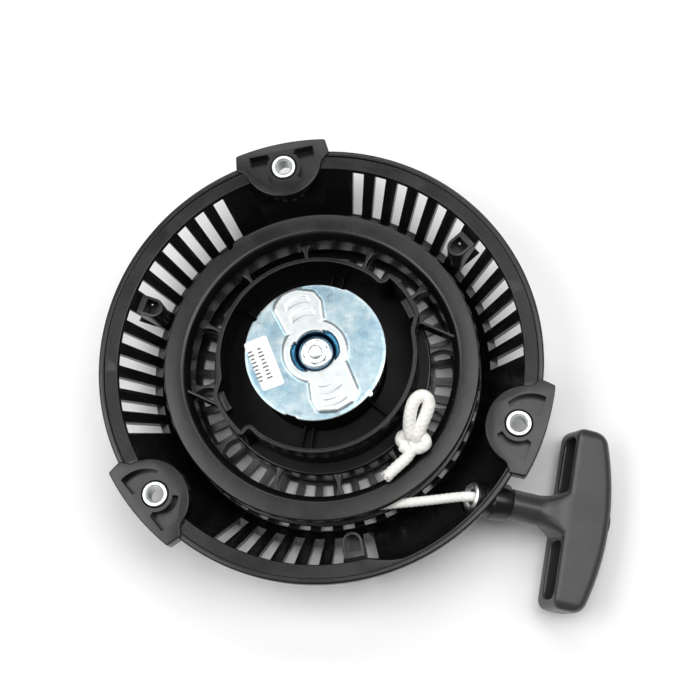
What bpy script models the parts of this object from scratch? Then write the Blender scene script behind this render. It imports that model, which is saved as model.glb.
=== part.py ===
"""Recoil starter for a small engine, standing on its closed face with the engine side up.

Frame: origin at the centre of the closed outer face, +Z along the reel's axis towards the engine,
+X the way the rope is pulled. Dimensions below are in millimetres and degrees; MM turns them into metres.
"""

import math

import bmesh
import bpy
from mathutils import Matrix, Vector

MM = 0.001
GAP = 0.35

# Housing
FLANGE_R, FLANGE_TOP, FLANGE_UNDER = 100.0, 38.0, 33.0
LEDGE_OUT_R, LEDGE_IN_R, LEDGE_Z = 97.4, 91.4, 36.8
FLOOR_R, FLOOR_T = 73.2, 3.0
WALL_T = 2.9
WALL_SLOPE = (LEDGE_IN_R - FLOOR_R) / (LEDGE_Z - 1.8 - FLOOR_T)
EAR_ANGLES = (108.0, -12.0, 228.0)
POST_ANGLES = (48.0, 168.0, 288.0)
EAR_PCD_R, EAR_EDGE_R, EAR_TOP, EAR_UNDER = 93.4, 105.5, 39.5, 31.0
SLOT_PITCH, FIRST_SLOT, SLOTS_A_SIDE, SLOT_WIDTH = 6.75, 4.75, 6, 3.3
SLOT_LOW_Z, SLOT_HIGH_Z = 9.5, 34.6
POST_R, POST_TOP = 8.5, 38.6

# Rope outlet: the boss and the handle lean down by PULL_TILT
PULL_Y, BOSS_END_X, BOSS_END_Z, PULL_TILT = -52.5, 90.0, 25.5, 20.0
BOSS_R, BOSS_LEN, PAD_R, ROPE_HOLE_R = 8.0, 13.6, 7.3, 3.9
EYELET_T, EYELET_TILT = 17.0, 32.0
EYELET_R, EYELET_BARREL_R, EYELET_BORE_R, EYELET_LEN = 6.3, 4.7, 3.7, 4.2

# Reel
REEL_BORE_R, BOSS_TOP_R, BOSS_TOP_Z = 8.6, 29.0, 38.0
SPRING_POCKET_R, SPRING_WALL_R, REEL_LOW_Z, DECK_LOW_Z, DECK_Z = 47.5, 50.0, 6.0, 19.0, 22.0
CUP_R, CUP_WALL, CUP_TOP, POCKET_R = 44.6, 2.0, 46.5, 49.2
DRUM_IN_R, DRUM_OUT_R, RIM_R = 60.2, 62.6, 72.0
RIM_LOW_Z, GROOVE_LOW_Z, GROOVE_HIGH_Z, RIM_TOP_Z = 13.2, 16.0, 27.4, 30.2
RIB_COUNT, RIB_FIRST = 12, 16.0

# Ratchet gear
PLATE_R, PLATE_TOP, PLATE_T, WELL_R, WELL_Z = 31.2, 50.0, 1.5, 9.3, 42.4
RATCHET_PIVOT_R, RATCHET_ANGLES = 19.0, (-49.0, 131.0)
RATCHET_LOW, RATCHET_T, PIN_R = 38.5, 5.0, 2.0
STUD_R, STUD_TOP, NUT_FLANGE_R, NUT_AF = 3.0, 50.2, 7.4, 10.0

ROPE_R = 2.25
ROPE_TURN_R = 69.5

# Handle, in its own frame: X away from the case along the stem, Y along the bar, Z up
HANDLE_YAW = -3.0
STEM_R, STEM_START, BAR_NEAR, BAR_FAR, BAR_BOW = 7.0, 0.75, 23.8, 46.0, 7.2
BAR_MID_Y, BAR_HALF, BAR_THICK, HANDLE_BORE_R = -1.0, 40.2, 20.0, 3.2

STEEL = ((0.62, 0.63, 0.65), 0.32, 1.0)
ZINC = ((0.78, 0.82, 0.85), 0.25, 1.0)
BLACK = ((0.018, 0.018, 0.019), 0.42, 0.0)
GREY = ((0.055, 0.055, 0.056), 0.38, 0.0)
ROPE = ((0.86, 0.85, 0.78), 0.85, 0.0)
PAPER = ((0.92, 0.92, 0.90), 0.6, 0.0)


def clear_scene():
    for obj in list(bpy.data.objects):
        bpy.data.objects.remove(obj, do_unlink=True)


def material(name, look):
    colour, roughness, metallic = look
    made = bpy.data.materials.new(name)
    made.use_nodes = True
    shader = made.node_tree.nodes["Principled BSDF"]
    shader.inputs["Base Color"].default_value = (*colour, 1.0)
    shader.inputs["Roughness"].default_value = roughness
    shader.inputs["Metallic"].default_value = metallic
    return made


def finish(name, bm, look, crease=32.0):
    """Makes a named object from a bmesh whose coordinates are in millimetres."""
    bmesh.ops.remove_doubles(bm, verts=bm.verts, dist=1e-4)
    bmesh.ops.dissolve_degenerate(bm, edges=bm.edges, dist=1e-5)
    bmesh.ops.recalc_face_normals(bm, faces=bm.faces)
    bmesh.ops.scale(bm, vec=(MM, MM, MM), verts=bm.verts)
    mesh = bpy.data.meshes.new(name)
    bm.to_mesh(mesh)
    bm.free()
    mesh.shade_smooth()
    mesh.set_sharp_from_angle(angle=math.radians(crease))
    obj = bpy.data.objects.new(name, mesh)
    bpy.context.scene.collection.objects.link(obj)
    mesh.materials.append(material(name + "_finish", look))
    return obj


def helper(obj):
    obj.hide_render = True
    obj.display_type = "WIRE"
    return obj


def add_turned(bm, profile, steps, matrix=None):
    """Adds a profile of (r, z) points turned about Z. Points on the axis close it."""
    verts = [bm.verts.new((r, 0.0, z)) for r, z in profile]
    edges = [bm.edges.new(pair) for pair in zip(verts, verts[1:])]
    if profile[0][0] > 0:
        edges.append(bm.edges.new((verts[-1], verts[0])))
    before = set(bm.verts) - set(verts)
    bmesh.ops.spin(
        bm, geom=verts + edges, cent=(0, 0, 0), axis=(0, 0, 1), angle=2 * math.pi,
        steps=steps, use_merge=True,
    )
    made = [v for v in bm.verts if v not in before]
    bmesh.ops.remove_doubles(bm, verts=made, dist=1e-4)
    if matrix:
        made = [v for v in bm.verts if v not in before]
        bmesh.ops.transform(bm, matrix=matrix, verts=made)


def add_prism(bm, outline, low, high, matrix=None):
    """Adds an outline of (x, y) points, extruded from low to high."""
    verts = [bm.verts.new((x, y, low)) for x, y in outline]
    face = bm.faces.new(verts)
    raised = bmesh.ops.extrude_face_region(bm, geom=[face])["geom"]
    lifted = [v for v in raised if isinstance(v, bmesh.types.BMVert)]
    bmesh.ops.translate(bm, vec=(0, 0, high - low), verts=lifted)
    if matrix:
        bmesh.ops.transform(bm, matrix=matrix, verts=verts + lifted)


def add_swept(bm, section, start, stop, steps=1):
    """Adds a section of (r, z) points swept about Z from start to stop degrees."""
    rows = []
    for i in range(steps + 1):
        angle = start + (stop - start) * i / steps
        rows.append([bm.verts.new((*polar(r, angle), z)) for r, z in section])
    count = len(section)
    for row, after in zip(rows, rows[1:]):
        for k in range(count):
            bm.faces.new((row[k], row[(k + 1) % count], after[(k + 1) % count], after[k]))
    bm.faces.new(rows[0])
    bm.faces.new(rows[-1])


def put(obj, frame):
    """Places an object by a frame whose translation is in millimetres."""
    if frame:
        placed = frame.copy()
        placed.translation *= MM
        obj.matrix_world = placed
    return obj


def turned(name, profile, look, steps=48, frame=None, crease=32.0):
    bm = bmesh.new()
    add_turned(bm, profile, steps)
    return put(finish(name, bm, look, crease), frame)


def prism(name, outline, low, high, look, frame=None):
    bm = bmesh.new()
    add_prism(bm, outline, low, high)
    return put(finish(name, bm, look), frame)


def boolean(target, other, operation):
    modifier = target.modifiers.new(operation.title(), "BOOLEAN")
    modifier.operation = operation
    modifier.solver = "EXACT"
    modifier.object = helper(other)


def polar(radius, degrees):
    angle = math.radians(degrees)
    return radius * math.cos(angle), radius * math.sin(angle)


def turn(degrees):
    return Matrix.Rotation(math.radians(degrees), 4, "Z")


def arc(radius, start, stop, steps, centre=(0.0, 0.0)):
    """Points on a circle from start to stop degrees, both ends included."""
    points = []
    for i in range(steps + 1):
        x, y = polar(radius, start + (stop - start) * i / steps)
        points.append((centre[0] + x, centre[1] + y))
    return points


def sector(inner, outer, start, stop, steps=2):
    """Outline of a piece of a ring."""
    return arc(inner, start, stop, steps) + arc(outer, stop, start, steps)


def tube(name, points, radius, look, resolution=2):
    """A round cord as a bevelled curve through points in millimetres."""
    curve = bpy.data.curves.new(name, "CURVE")
    curve.dimensions = "3D"
    spline = curve.splines.new("POLY")
    spline.points.add(len(points) - 1)
    for slot, point in zip(spline.points, points):
        slot.co = (*(Vector(point) * MM), 1.0)
    curve.bevel_depth = radius * MM
    curve.bevel_resolution = resolution
    curve.use_fill_caps = True
    obj = bpy.data.objects.new(name, curve)
    bpy.context.scene.collection.objects.link(obj)
    curve.materials.append(material(name + "_finish", look))
    return obj


def smooth_path(route, spacing):
    """Points about spacing apart on a Catmull-Rom curve through the route."""
    knots = [Vector(p) for p in route]
    knots = [knots[0] * 2 - knots[1]] + knots + [knots[-1] * 2 - knots[-2]]
    points = [knots[1]]
    for a, b, c, d in zip(knots, knots[1:], knots[2:], knots[3:]):
        count = max(1, round((c - b).length / spacing))
        for i in range(1, count + 1):
            t = i / count
            points.append(
                0.5 * (2 * b + (c - a) * t + (2 * a - 5 * b + 4 * c - d) * t**2
                       + (3 * b - a - 3 * c + d) * t**3)
            )
    return [tuple(p) for p in points]


def along(angle_down):
    """Unit vector along +X that leans down by the angle."""
    tilt = math.radians(angle_down)
    return Vector((math.cos(tilt), 0.0, -math.sin(tilt)))


PULL = along(PULL_TILT)
BOSS_END = Vector((BOSS_END_X, PULL_Y, BOSS_END_Z))
EYELET_AT = BOSS_END - PULL * EYELET_T


def axis_frame(origin, angle_down):
    """Local +Z leans down along the pull, local Y stays level."""
    z = along(angle_down)
    y = Vector((0.0, 1.0, 0.0))
    x = y.cross(z)
    frame = Matrix((x, y, z)).transposed().to_4x4()
    frame.translation = origin
    return frame


def handle_frame():
    """Local X runs along the stem, Y along the bar and Z up out of the grip's top."""
    y = Vector((0.0, 1.0, 0.0))
    frame = Matrix((PULL, y, PULL.cross(y))).transposed().to_4x4() @ turn(HANDLE_YAW)
    frame.translation = BOSS_END
    return frame


def wall_radius(z):
    return FLOOR_R + (z - FLOOR_T) * WALL_SLOPE


def slot_angles():
    """Middles of the wall slots: six on each side of each wall post, fewer by the rope outlet."""
    angles = []
    for post in POST_ANGLES:
        for i in range(SLOTS_A_SIDE):
            angles.append(post - FIRST_SLOT - SLOT_PITCH * i)
            if post != POST_ANGLES[2] or i == 0:
                angles.append(post + FIRST_SLOT + SLOT_PITCH * i)
    return angles


def ear_outline():
    """Ear pad about its bush: u outwards, v along the rim."""
    rim = [(x - EAR_PCD_R, y) for x, y in arc(EAR_EDGE_R, -11.6, 11.6, 6)]
    inner = arc(21.3, 107.0, 253.0, 12, centre=(7.35, 0.0))
    return [(3.0, -22.6)] + rim + [(3.0, 22.6)] + inner


def starter_case():
    cone_out = wall_radius(FLOOR_T) + WALL_T
    profile = [
        (0.0, 0.0), (cone_out - 4.0, 0.0), (cone_out - 1.2, 1.0), (cone_out + 0.2, 3.4),
        (wall_radius(FLANGE_UNDER) + WALL_T, FLANGE_UNDER), (FLANGE_R - 1.2, FLANGE_UNDER),
        (FLANGE_R, FLANGE_UNDER + 1.2), (FLANGE_R, FLANGE_TOP - 0.8), (FLANGE_R - 0.8, FLANGE_TOP),
        (LEDGE_OUT_R, FLANGE_TOP), (LEDGE_OUT_R, LEDGE_Z), (LEDGE_IN_R, LEDGE_Z),
        (wall_radius(LEDGE_Z - 1.8), LEDGE_Z - 1.8), (FLOOR_R, FLOOR_T), (POST_R + 2.0, FLOOR_T),
        (POST_R + 2.0, REEL_LOW_Z - 0.6), (POST_R, REEL_LOW_Z - 0.6), (POST_R, POST_TOP),
        (5.3, POST_TOP), (5.3, 26.0), (0.0, 26.0),
    ]
    case = turned("starter_case", profile, BLACK, steps=60)

    solid = bmesh.new()
    for angle in EAR_ANGLES:
        place = turn(angle) @ Matrix.Translation((EAR_PCD_R, 0, 0))
        add_prism(solid, ear_outline(), EAR_UNDER, EAR_TOP, place)
    post = [(81.0, 16.2), (wall_radius(16.2) + 1.4, 16.2), (wall_radius(31.0) + 1.4, 31.0), (81.0, 31.0)]
    for angle in POST_ANGLES:
        add_swept(solid, post, angle - 2.6, angle + 2.6, 2)
    boss = axis_frame(BOSS_END - PULL * BOSS_LEN, PULL_TILT)
    add_turned(solid,
               [(0, 0), (BOSS_R, 0), (BOSS_R, BOSS_LEN - 0.8), (BOSS_R - 0.8, BOSS_LEN), (0, BOSS_LEN)],
               24, boss)
    boolean(case, finish("case_solids", solid, BLACK), "UNION")
    pad = axis_frame(EYELET_AT, EYELET_TILT)
    boolean(case,
            turned("eyelet_pad", [(0, 0.2), (PAD_R, 0.2), (PAD_R, 9.0), (0, 9.0)], BLACK, 24,
                   pad), "UNION")

    hole = axis_frame(BOSS_END - PULL * 22.0, PULL_TILT)
    bore = [(0, 0), (ROPE_HOLE_R, 0), (ROPE_HOLE_R, 24.0), (0, 24.0)]
    boolean(case, turned("rope_hole", bore, BLACK, 20, hole), "DIFFERENCE")
    spot = [
        (0, -9.0), (PAD_R - 0.4, -9.0), (PAD_R - 0.4, 0.6), (EYELET_R + GAP, 0.6),
        (EYELET_R + GAP, 1.2 + GAP), (EYELET_BARREL_R + GAP, 1.2 + GAP),
        (EYELET_BARREL_R + GAP, EYELET_LEN + 1.0), (0, EYELET_LEN + 1.0),
    ]
    boolean(case, turned("eyelet_seat", spot, BLACK, 24, pad), "DIFFERENCE")

    cut = bmesh.new()
    slot = [(wall_radius(SLOT_LOW_Z) - 3.0, SLOT_LOW_Z), (97.0, SLOT_LOW_Z), (97.0, FLANGE_UNDER - 0.3),
            (wall_radius(SLOT_HIGH_Z) + 1.0, SLOT_HIGH_Z), (wall_radius(SLOT_HIGH_Z) - 3.0, SLOT_HIGH_Z)]
    for angle in slot_angles():
        add_swept(cut, slot, angle - SLOT_WIDTH / 2, angle + SLOT_WIDTH / 2)
    for count, inner, outer, width in ((34, 51.0, 59.6, 6.4), (44, 67.0, 72.4, 4.4)):
        for i in range(count):
            half = width / 2
            outline = [polar(inner, -half), polar(outer, -half), polar(outer, half), polar(inner, half)]
            add_prism(cut, outline, -1.0, FLOOR_T + 1.0, turn(360.0 * i / count))
    for angle in EAR_ANGLES:
        place = turn(angle) @ Matrix.Translation((EAR_PCD_R, 0, 0))
        hole = 5.5 + GAP
        add_turned(cut,
                   [(0, EAR_UNDER - 5), (hole, EAR_UNDER - 5), (hole, EAR_TOP + 1),
                    (0, EAR_TOP + 1)], 20, place)
        for side in (1, -1):
            start, stop = sorted((30.0 * side, 135.0 * side))
            add_prism(cut, sector(8.4, 13.6, start, stop, 5), EAR_TOP - 3.0, EAR_TOP + 1, place)
    for angle in POST_ANGLES:
        add_swept(cut, [(82.6, 24.0), (86.6, 24.0), (87.6, 33.0), (82.6, 33.0)], angle - 1.4,
                  angle + 1.4)
    add_prism(cut, [(4.5, -0.9), (POST_R + 1, -0.9), (POST_R + 1, 0.9), (4.5, 0.9)], 6.4, 19.0,
              turn(200.0))
    boolean(case, finish("case_cuts", cut, BLACK), "DIFFERENCE")
    return case


def ear_bushes():
    for letter, angle in zip("abc", EAR_ANGLES):
        place = turn(angle) @ Matrix.Translation((EAR_PCD_R, 0, 0))
        profile = [(3.3, EAR_UNDER - 0.4), (5.5, EAR_UNDER - 0.4), (5.5, EAR_TOP + 0.1),
                   (5.1, EAR_TOP + 0.5),
                   (3.7, EAR_TOP + 0.5), (3.3, EAR_TOP + 0.1)]
        turned("ear_bush_" + letter, profile, ZINC, 24, place)


def rope_eyelet():
    profile = [
        (EYELET_BORE_R, EYELET_LEN), (EYELET_BORE_R, 0.6), (EYELET_BORE_R + 0.8, -0.4),
        (EYELET_R - 0.9, -0.6),
        (EYELET_R, 0.2), (EYELET_R, 1.1), (EYELET_BARREL_R, 1.2), (EYELET_BARREL_R, EYELET_LEN),
    ]
    turned("rope_eyelet", profile, ZINC, 28, axis_frame(EYELET_AT, EYELET_TILT))


def cup_outline(inset):
    """Outline of the reel's cup: a circle with two pockets that bulge out, half a turn apart."""
    wall, pocket = CUP_R - inset, POCKET_R - inset
    trim = math.degrees(inset / POCKET_R)
    points = []
    for half_turn in (0.0, 180.0):
        points += arc(wall, half_turn + 56.5 - trim, half_turn + 200.0, 16)
        points.append(polar(wall + 1.2, half_turn + 205.5))
        points += arc(pocket, half_turn + 209.5 + trim, half_turn + 235.5 - trim, 4)
    return points


def reel():
    base = [
        (REEL_BORE_R, DECK_LOW_Z), (12.0, DECK_LOW_Z), (12.0, BOSS_TOP_Z - 3.5),
        (BOSS_TOP_R - 2.6, BOSS_TOP_Z - 3.5), (BOSS_TOP_R - 2.6, DECK_LOW_Z),
        (SPRING_POCKET_R, DECK_LOW_Z), (SPRING_POCKET_R, REEL_LOW_Z),
        (SPRING_WALL_R, REEL_LOW_Z), (SPRING_WALL_R, DECK_Z - 1.0), (SPRING_WALL_R - 1.0, DECK_Z),
        (BOSS_TOP_R, DECK_Z), (BOSS_TOP_R, BOSS_TOP_Z), (REEL_BORE_R, BOSS_TOP_Z),
    ]
    body = turned("reel", base, BLACK, 48)

    rim = [
        (DRUM_IN_R, RIM_LOW_Z), (RIM_R, RIM_LOW_Z), (RIM_R, GROOVE_LOW_Z - 0.6),
        (DRUM_OUT_R, GROOVE_LOW_Z),
        (DRUM_OUT_R, GROOVE_HIGH_Z), (RIM_R, GROOVE_HIGH_Z + 0.4), (RIM_R, RIM_TOP_Z - 1.0),
        (RIM_R - 1.2, RIM_TOP_Z), (64.0, RIM_TOP_Z), (61.6, RIM_TOP_Z - 0.9),
        (DRUM_IN_R, RIM_TOP_Z - 3.2),
    ]
    boolean(body, turned("reel_rim", rim, BLACK, 60), "UNION")

    wall = bmesh.new()
    add_prism(wall, cup_outline(0.0), DECK_Z - 0.6, CUP_TOP)
    cup = finish("reel_cup", wall, BLACK)
    hollow = bmesh.new()
    add_prism(hollow, cup_outline(CUP_WALL), DECK_Z - 2.0, CUP_TOP + 1.0)
    boolean(cup, finish("reel_cup_hollow", hollow, BLACK), "DIFFERENCE")
    boolean(body, cup, "UNION")

    ribs = bmesh.new()
    for i in range(RIB_COUNT):
        outline = [(SPRING_WALL_R - 1.0, -1.0), (DRUM_IN_R - 2.4, -0.8), (DRUM_IN_R + 1.2, -3.0),
                   (DRUM_IN_R + 1.2, 3.0), (DRUM_IN_R - 2.4, 0.8), (SPRING_WALL_R - 1.0, 1.0)]
        add_prism(ribs, outline, RIM_LOW_Z + 0.6, 21.0, turn(RIB_FIRST + 360.0 / RIB_COUNT * i))
    boolean(body, finish("reel_ribs", ribs, BLACK), "UNION")

    webs = bmesh.new()
    for half_turn in (0.0, 180.0):
        ends = [polar(POCKET_R - 0.8, 29.5), polar(DRUM_IN_R + 1.4, 18.0)]
        side = (Vector(ends[1]) - Vector(ends[0])).orthogonal().normalized() * 0.7
        outline = [Vector(ends[0]) + side, Vector(ends[1]) + side, Vector(ends[1]) - side,
                   Vector(ends[0]) - side]
        add_prism(webs, [tuple(p) for p in outline], 20.3, 26.4, turn(half_turn))
        add_prism(webs, sector(CUP_R - 1.0, POCKET_R - 1.0, 29.5, 40.0, 2), 40.0, 44.0, turn(half_turn))
    boolean(body, finish("reel_webs", webs, BLACK), "UNION")

    cuts = bmesh.new()
    catch = [(74.0, -3.6), (74.0, 3.6), (70.5, 2.2), (68.2, 1.9), (67.2, 0.0), (68.2, -1.9),
             (70.5, -2.2)]
    add_prism(cuts, catch, GROOVE_HIGH_Z - 0.5, RIM_TOP_Z + 1.0, turn(136.5))
    for angle in RATCHET_ANGLES:
        place = turn(angle) @ Matrix.Translation((RATCHET_PIVOT_R, 0, 0))
        bore = PIN_R + GAP
        add_turned(cuts, [(0, 33.0), (bore, 33.0), (bore, 40.0), (0, 40.0)], 12, place)
    boolean(body, finish("reel_cuts", cuts, BLACK), "DIFFERENCE")
    return body


def rope_wound():
    low, high = GROOVE_LOW_Z + GAP, GROOVE_HIGH_Z - GAP
    inner, outer = DRUM_OUT_R + GAP, ROPE_TURN_R - ROPE_R - GAP
    turned("rope_wound", [(inner, low), (outer, low), (outer, high), (inner, high)], ROPE, 48)


def rope_span():
    """From the drum, where it lies against the wound turns, through the eyelet to the boss's end."""
    start_z = GROOVE_LOW_Z + 4.0
    route = [(*polar(ROPE_TURN_R, angle), start_z) for angle in (-112.0, -100.0, -88.0, -77.0)]
    route += [(30.0, -63.9, start_z + 0.4), (52.0, -57.6, start_z + 5.6)]
    route += [tuple(EYELET_AT - along(EYELET_TILT) * 2.5 + Vector((0, -0.4, -0.2)))]
    route += [tuple(BOSS_END - PULL * t) for t in (12.0, 6.0, 0.2)]
    tube("rope_span", smooth_path(route, 5.0), ROPE_R, ROPE, 2)


def reel_knot():
    """Knot of the rope's inner end, in the space between cup and rim, with its loop and cut tail."""
    blob = bmesh.new()
    bmesh.ops.create_icosphere(blob, subdivisions=2, radius=1.0)
    bmesh.ops.scale(blob, vec=(7.9, 4.9, 3.7), verts=blob.verts)
    place = Matrix.Translation((46.6, -32.0, 35.6)) @ turn(6.0)
    bmesh.ops.transform(blob, matrix=place, verts=blob.verts)
    knot = finish("reel_knot", blob, ROPE, 80)
    loop = [
        (45.2, -31.6, 35.6), (44.4, -26.2, 39.6), (44.4, -21.6, 43.6), (45.2, -17.0, 45.0),
        (47.4, -14.0, 45.4), (50.2, -13.7, 45.0), (51.9, -16.2, 44.2), (51.4, -20.0, 42.8),
        (50.2, -24.2, 40.6), (47.6, -31.8, 36.0),
    ]
    tail = [(46.6, -33.0, 35.4), (45.0, -38.0, 34.0), (41.4, -42.9, 33.3), (36.6, -48.6, 33.0)]
    for piece, route, radius in (("knot_loop", loop, 2.5), ("knot_tail", tail, ROPE_R)):
        boolean(knot, as_mesh(tube(piece, smooth_path(route, 3.0), radius, ROPE, 2)), "UNION")


def as_mesh(curve_object):
    """A mesh copy of a curve object, for use as a Boolean operand."""
    graph = bpy.context.evaluated_depsgraph_get()
    mesh = bpy.data.meshes.new_from_object(curve_object.evaluated_get(graph))
    bm = bmesh.new()
    bm.from_mesh(mesh)
    bmesh.ops.scale(bm, vec=(1 / MM, 1 / MM, 1 / MM), verts=bm.verts)
    name = curve_object.name
    bpy.data.objects.remove(curve_object, do_unlink=True)
    bpy.data.meshes.remove(mesh)
    return finish(name + "_solid", bm, ROPE, 80)


def recoil_spring():
    """Flat spiral: close turns against the pocket wall, then one open turn in to the centre post."""
    strip, close_turns, pitch, steps = 0.7, 5.0, 1.9, 18
    outer, inner = SPRING_POCKET_R - 0.9, POST_R + 0.8
    low, high = REEL_LOW_Z + 0.8, DECK_LOW_Z - 0.8
    total = int((close_turns + 1.25) * steps)
    bm = bmesh.new()
    rows = []
    for i in range(total + 1):
        turns = i / steps
        radius = outer - pitch * turns
        if turns > close_turns:
            share = (turns - close_turns) / 1.25
            share = share * share * (3 - 2 * share)
            radius += (inner - (outer - pitch * (close_turns + 1.25))) * share
        angle = 20.0 + 360.0 * turns
        corners = [(radius - strip / 2, low), (radius + strip / 2, low),
                   (radius + strip / 2, high), (radius - strip / 2, high)]
        rows.append([bm.verts.new((*polar(r, angle), z)) for r, z in corners])
    for row, after in zip(rows, rows[1:]):
        for k in range(4):
            bm.faces.new((row[k], row[(k + 1) % 4], after[(k + 1) % 4], after[k]))
    bm.faces.new(rows[0])
    bm.faces.new(rows[-1])
    finish("recoil_spring", bm, STEEL, 60)


def centre_fasteners():
    turned("post_insert", [(3.35, 27.0), (4.9, 27.0), (4.9, POST_TOP + 0.1), (3.35, POST_TOP + 0.1)],
           STEEL, 20)
    turned("thrust_washer", [(3.4, POST_TOP + 0.5), (10.2, POST_TOP + 0.5), (10.2, POST_TOP + 1.6),
                             (3.4, POST_TOP + 1.6)], STEEL, 32)
    turned("centre_stud", [(0, 27.5), (STUD_R - 0.6, 27.5), (STUD_R, 28.1), (STUD_R, STUD_TOP - 0.8),
                           (STUD_R - 0.8, STUD_TOP), (0, STUD_TOP)], ZINC, 20)
    low = WELL_Z + GAP
    nut = turned("centre_nut", [(STUD_R + GAP, low), (NUT_FLANGE_R, low), (NUT_FLANGE_R, low + 0.9),
                                (5.2, low + 2.0), (STUD_R + GAP, low + 2.0)], ZINC, 32)
    hexagon = bmesh.new()
    across = NUT_AF / math.sqrt(3)
    add_prism(hexagon, arc(across, 0.0, 300.0, 5), low + 1.0, low + 6.6)
    block = finish("nut_hexagon", hexagon, ZINC)
    bore = [(0, low), (STUD_R + GAP, low), (STUD_R + GAP, low + 8), (0, low + 8)]
    boolean(block, turned("nut_bore", bore, ZINC, 20), "DIFFERENCE")
    boolean(nut, block, "UNION")


def ratchet_outline(grow=0.0):
    """Dog about its pivot, pointing at its resting nose."""
    hub = 4.4 + grow
    return arc(hub, 150.0, 350.0, 7) + [(5.9, 5.4), (7.3, 11.5), (7.0, 16.4), (3.6, 17.0), (0.6, 12.4),
                                        (-2.8, 6.0)]


def ratchet_gear():
    for letter, angle in zip("ab", RATCHET_ANGLES):
        place = turn(angle) @ Matrix.Translation((RATCHET_PIVOT_R, 0, 0))
        dog = prism("ratchet_" + letter, ratchet_outline(), RATCHET_LOW, RATCHET_LOW + RATCHET_T, STEEL,
                    place)
        hole = PIN_R + GAP
        bore = [(0, RATCHET_LOW - 1), (hole, RATCHET_LOW - 1), (hole, RATCHET_LOW + 7),
                (0, RATCHET_LOW + 7)]
        boolean(dog, turned("ratchet_bore_" + letter, bore, STEEL, 16, place), "DIFFERENCE")
        pin = [(0, 33.4), (PIN_R, 33.4), (PIN_R, 46.6), (PIN_R - 0.4, 47.0), (0, 47.0)]
        turned("ratchet_pin_" + letter, pin, STEEL, 16, place)
        coil = [(PIN_R + 0.4, 44.1), (PIN_R + 1.3, 44.1), (PIN_R + 1.3, 46.2), (PIN_R + 0.4, 46.2)]
        spring = turned("ratchet_spring_" + letter, coil, STEEL, 20, place)
        arm = bmesh.new()
        add_prism(arm, [(2.9, -0.4), (9.6, -0.4), (9.6, 0.4), (2.9, 0.4)], 44.4, 45.2, turn(100.0))
        boolean(spring, put(finish("ratchet_spring_arm_" + letter, arm, STEEL), place), "UNION")
    drag = [(*polar(12.0, 20.0 * i), BOSS_TOP_Z + 1.6 + 4.4 * i / 36) for i in range(37)]
    tube("friction_spring", drag, 0.55, STEEL, 1)


def ratchet_guide():
    top, low = PLATE_TOP, PLATE_TOP - PLATE_T
    profile = [
        (STUD_R + GAP, WELL_Z - PLATE_T), (WELL_R + 0.8, WELL_Z - PLATE_T),
        (WELL_R + 1.5, WELL_Z - PLATE_T + 0.8), (WELL_R + 2.2, low), (PLATE_R, low), (PLATE_R, top),
        (WELL_R + 0.8, top), (WELL_R, top - 0.8),
        (WELL_R - 0.5, WELL_Z), (STUD_R + GAP, WELL_Z),
    ]
    plate = turned("ratchet_guide", profile, ZINC, 48)
    bow = bmesh.new()
    for half_turn in (0.0, 180.0):
        outline = [(12.4, -7.0), (14.6, -7.4), (26.5, -9.4), (28.6, -8.0), (28.6, 8.0), (26.5, 9.4),
                   (14.6, 7.4), (12.4, 7.0)]
        add_prism(bow, outline, low + 0.4, top + 0.8, turn(118.0 + half_turn))
    boolean(plate, finish("guide_bow", bow, ZINC), "UNION")
    legs = bmesh.new()
    for angle in (-29.0, 151.0):
        add_prism(legs, sector(29.3, 30.9, angle - 5.0, angle + 5.0, 3), 40.6, low + 0.5)
    boolean(plate, finish("guide_legs", legs, ZINC), "UNION")
    notches = bmesh.new()
    for angle in (74.0, -106.0):
        add_prism(notches, sector(30.2, 33.0, angle - 1.5, angle + 10.0, 3), low - 0.5, top + 0.5)
    boolean(plate, finish("guide_notches", notches, ZINC), "DIFFERENCE")


def guide_label():
    outline = [polar(28.0, 217.0), polar(19.4, 235.0), polar(22.8, 167.4), polar(30.6, 178.6)]
    prism("guide_label", outline, PLATE_TOP + 0.3, PLATE_TOP + 0.5, PAPER)


def bar_outline():
    """The grip from above: straight towards the case, bowed on the far side."""
    near, far = BAR_NEAR, BAR_FAR
    points = [(near, -BAR_HALF + 3.5), (near + 3.5, -BAR_HALF)]
    for share in (-0.97, -0.86, -0.65, -0.4, -0.15, 0.15, 0.4, 0.65, 0.86, 0.97):
        points.append((far - BAR_BOW * share**2 - (1.6 if abs(share) > 0.9 else 0.0), BAR_HALF * share))
    points += [(near + 3.5, BAR_HALF), (near, BAR_HALF - 3.5)]
    return [(x, y + BAR_MID_Y) for x, y in points]


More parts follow.
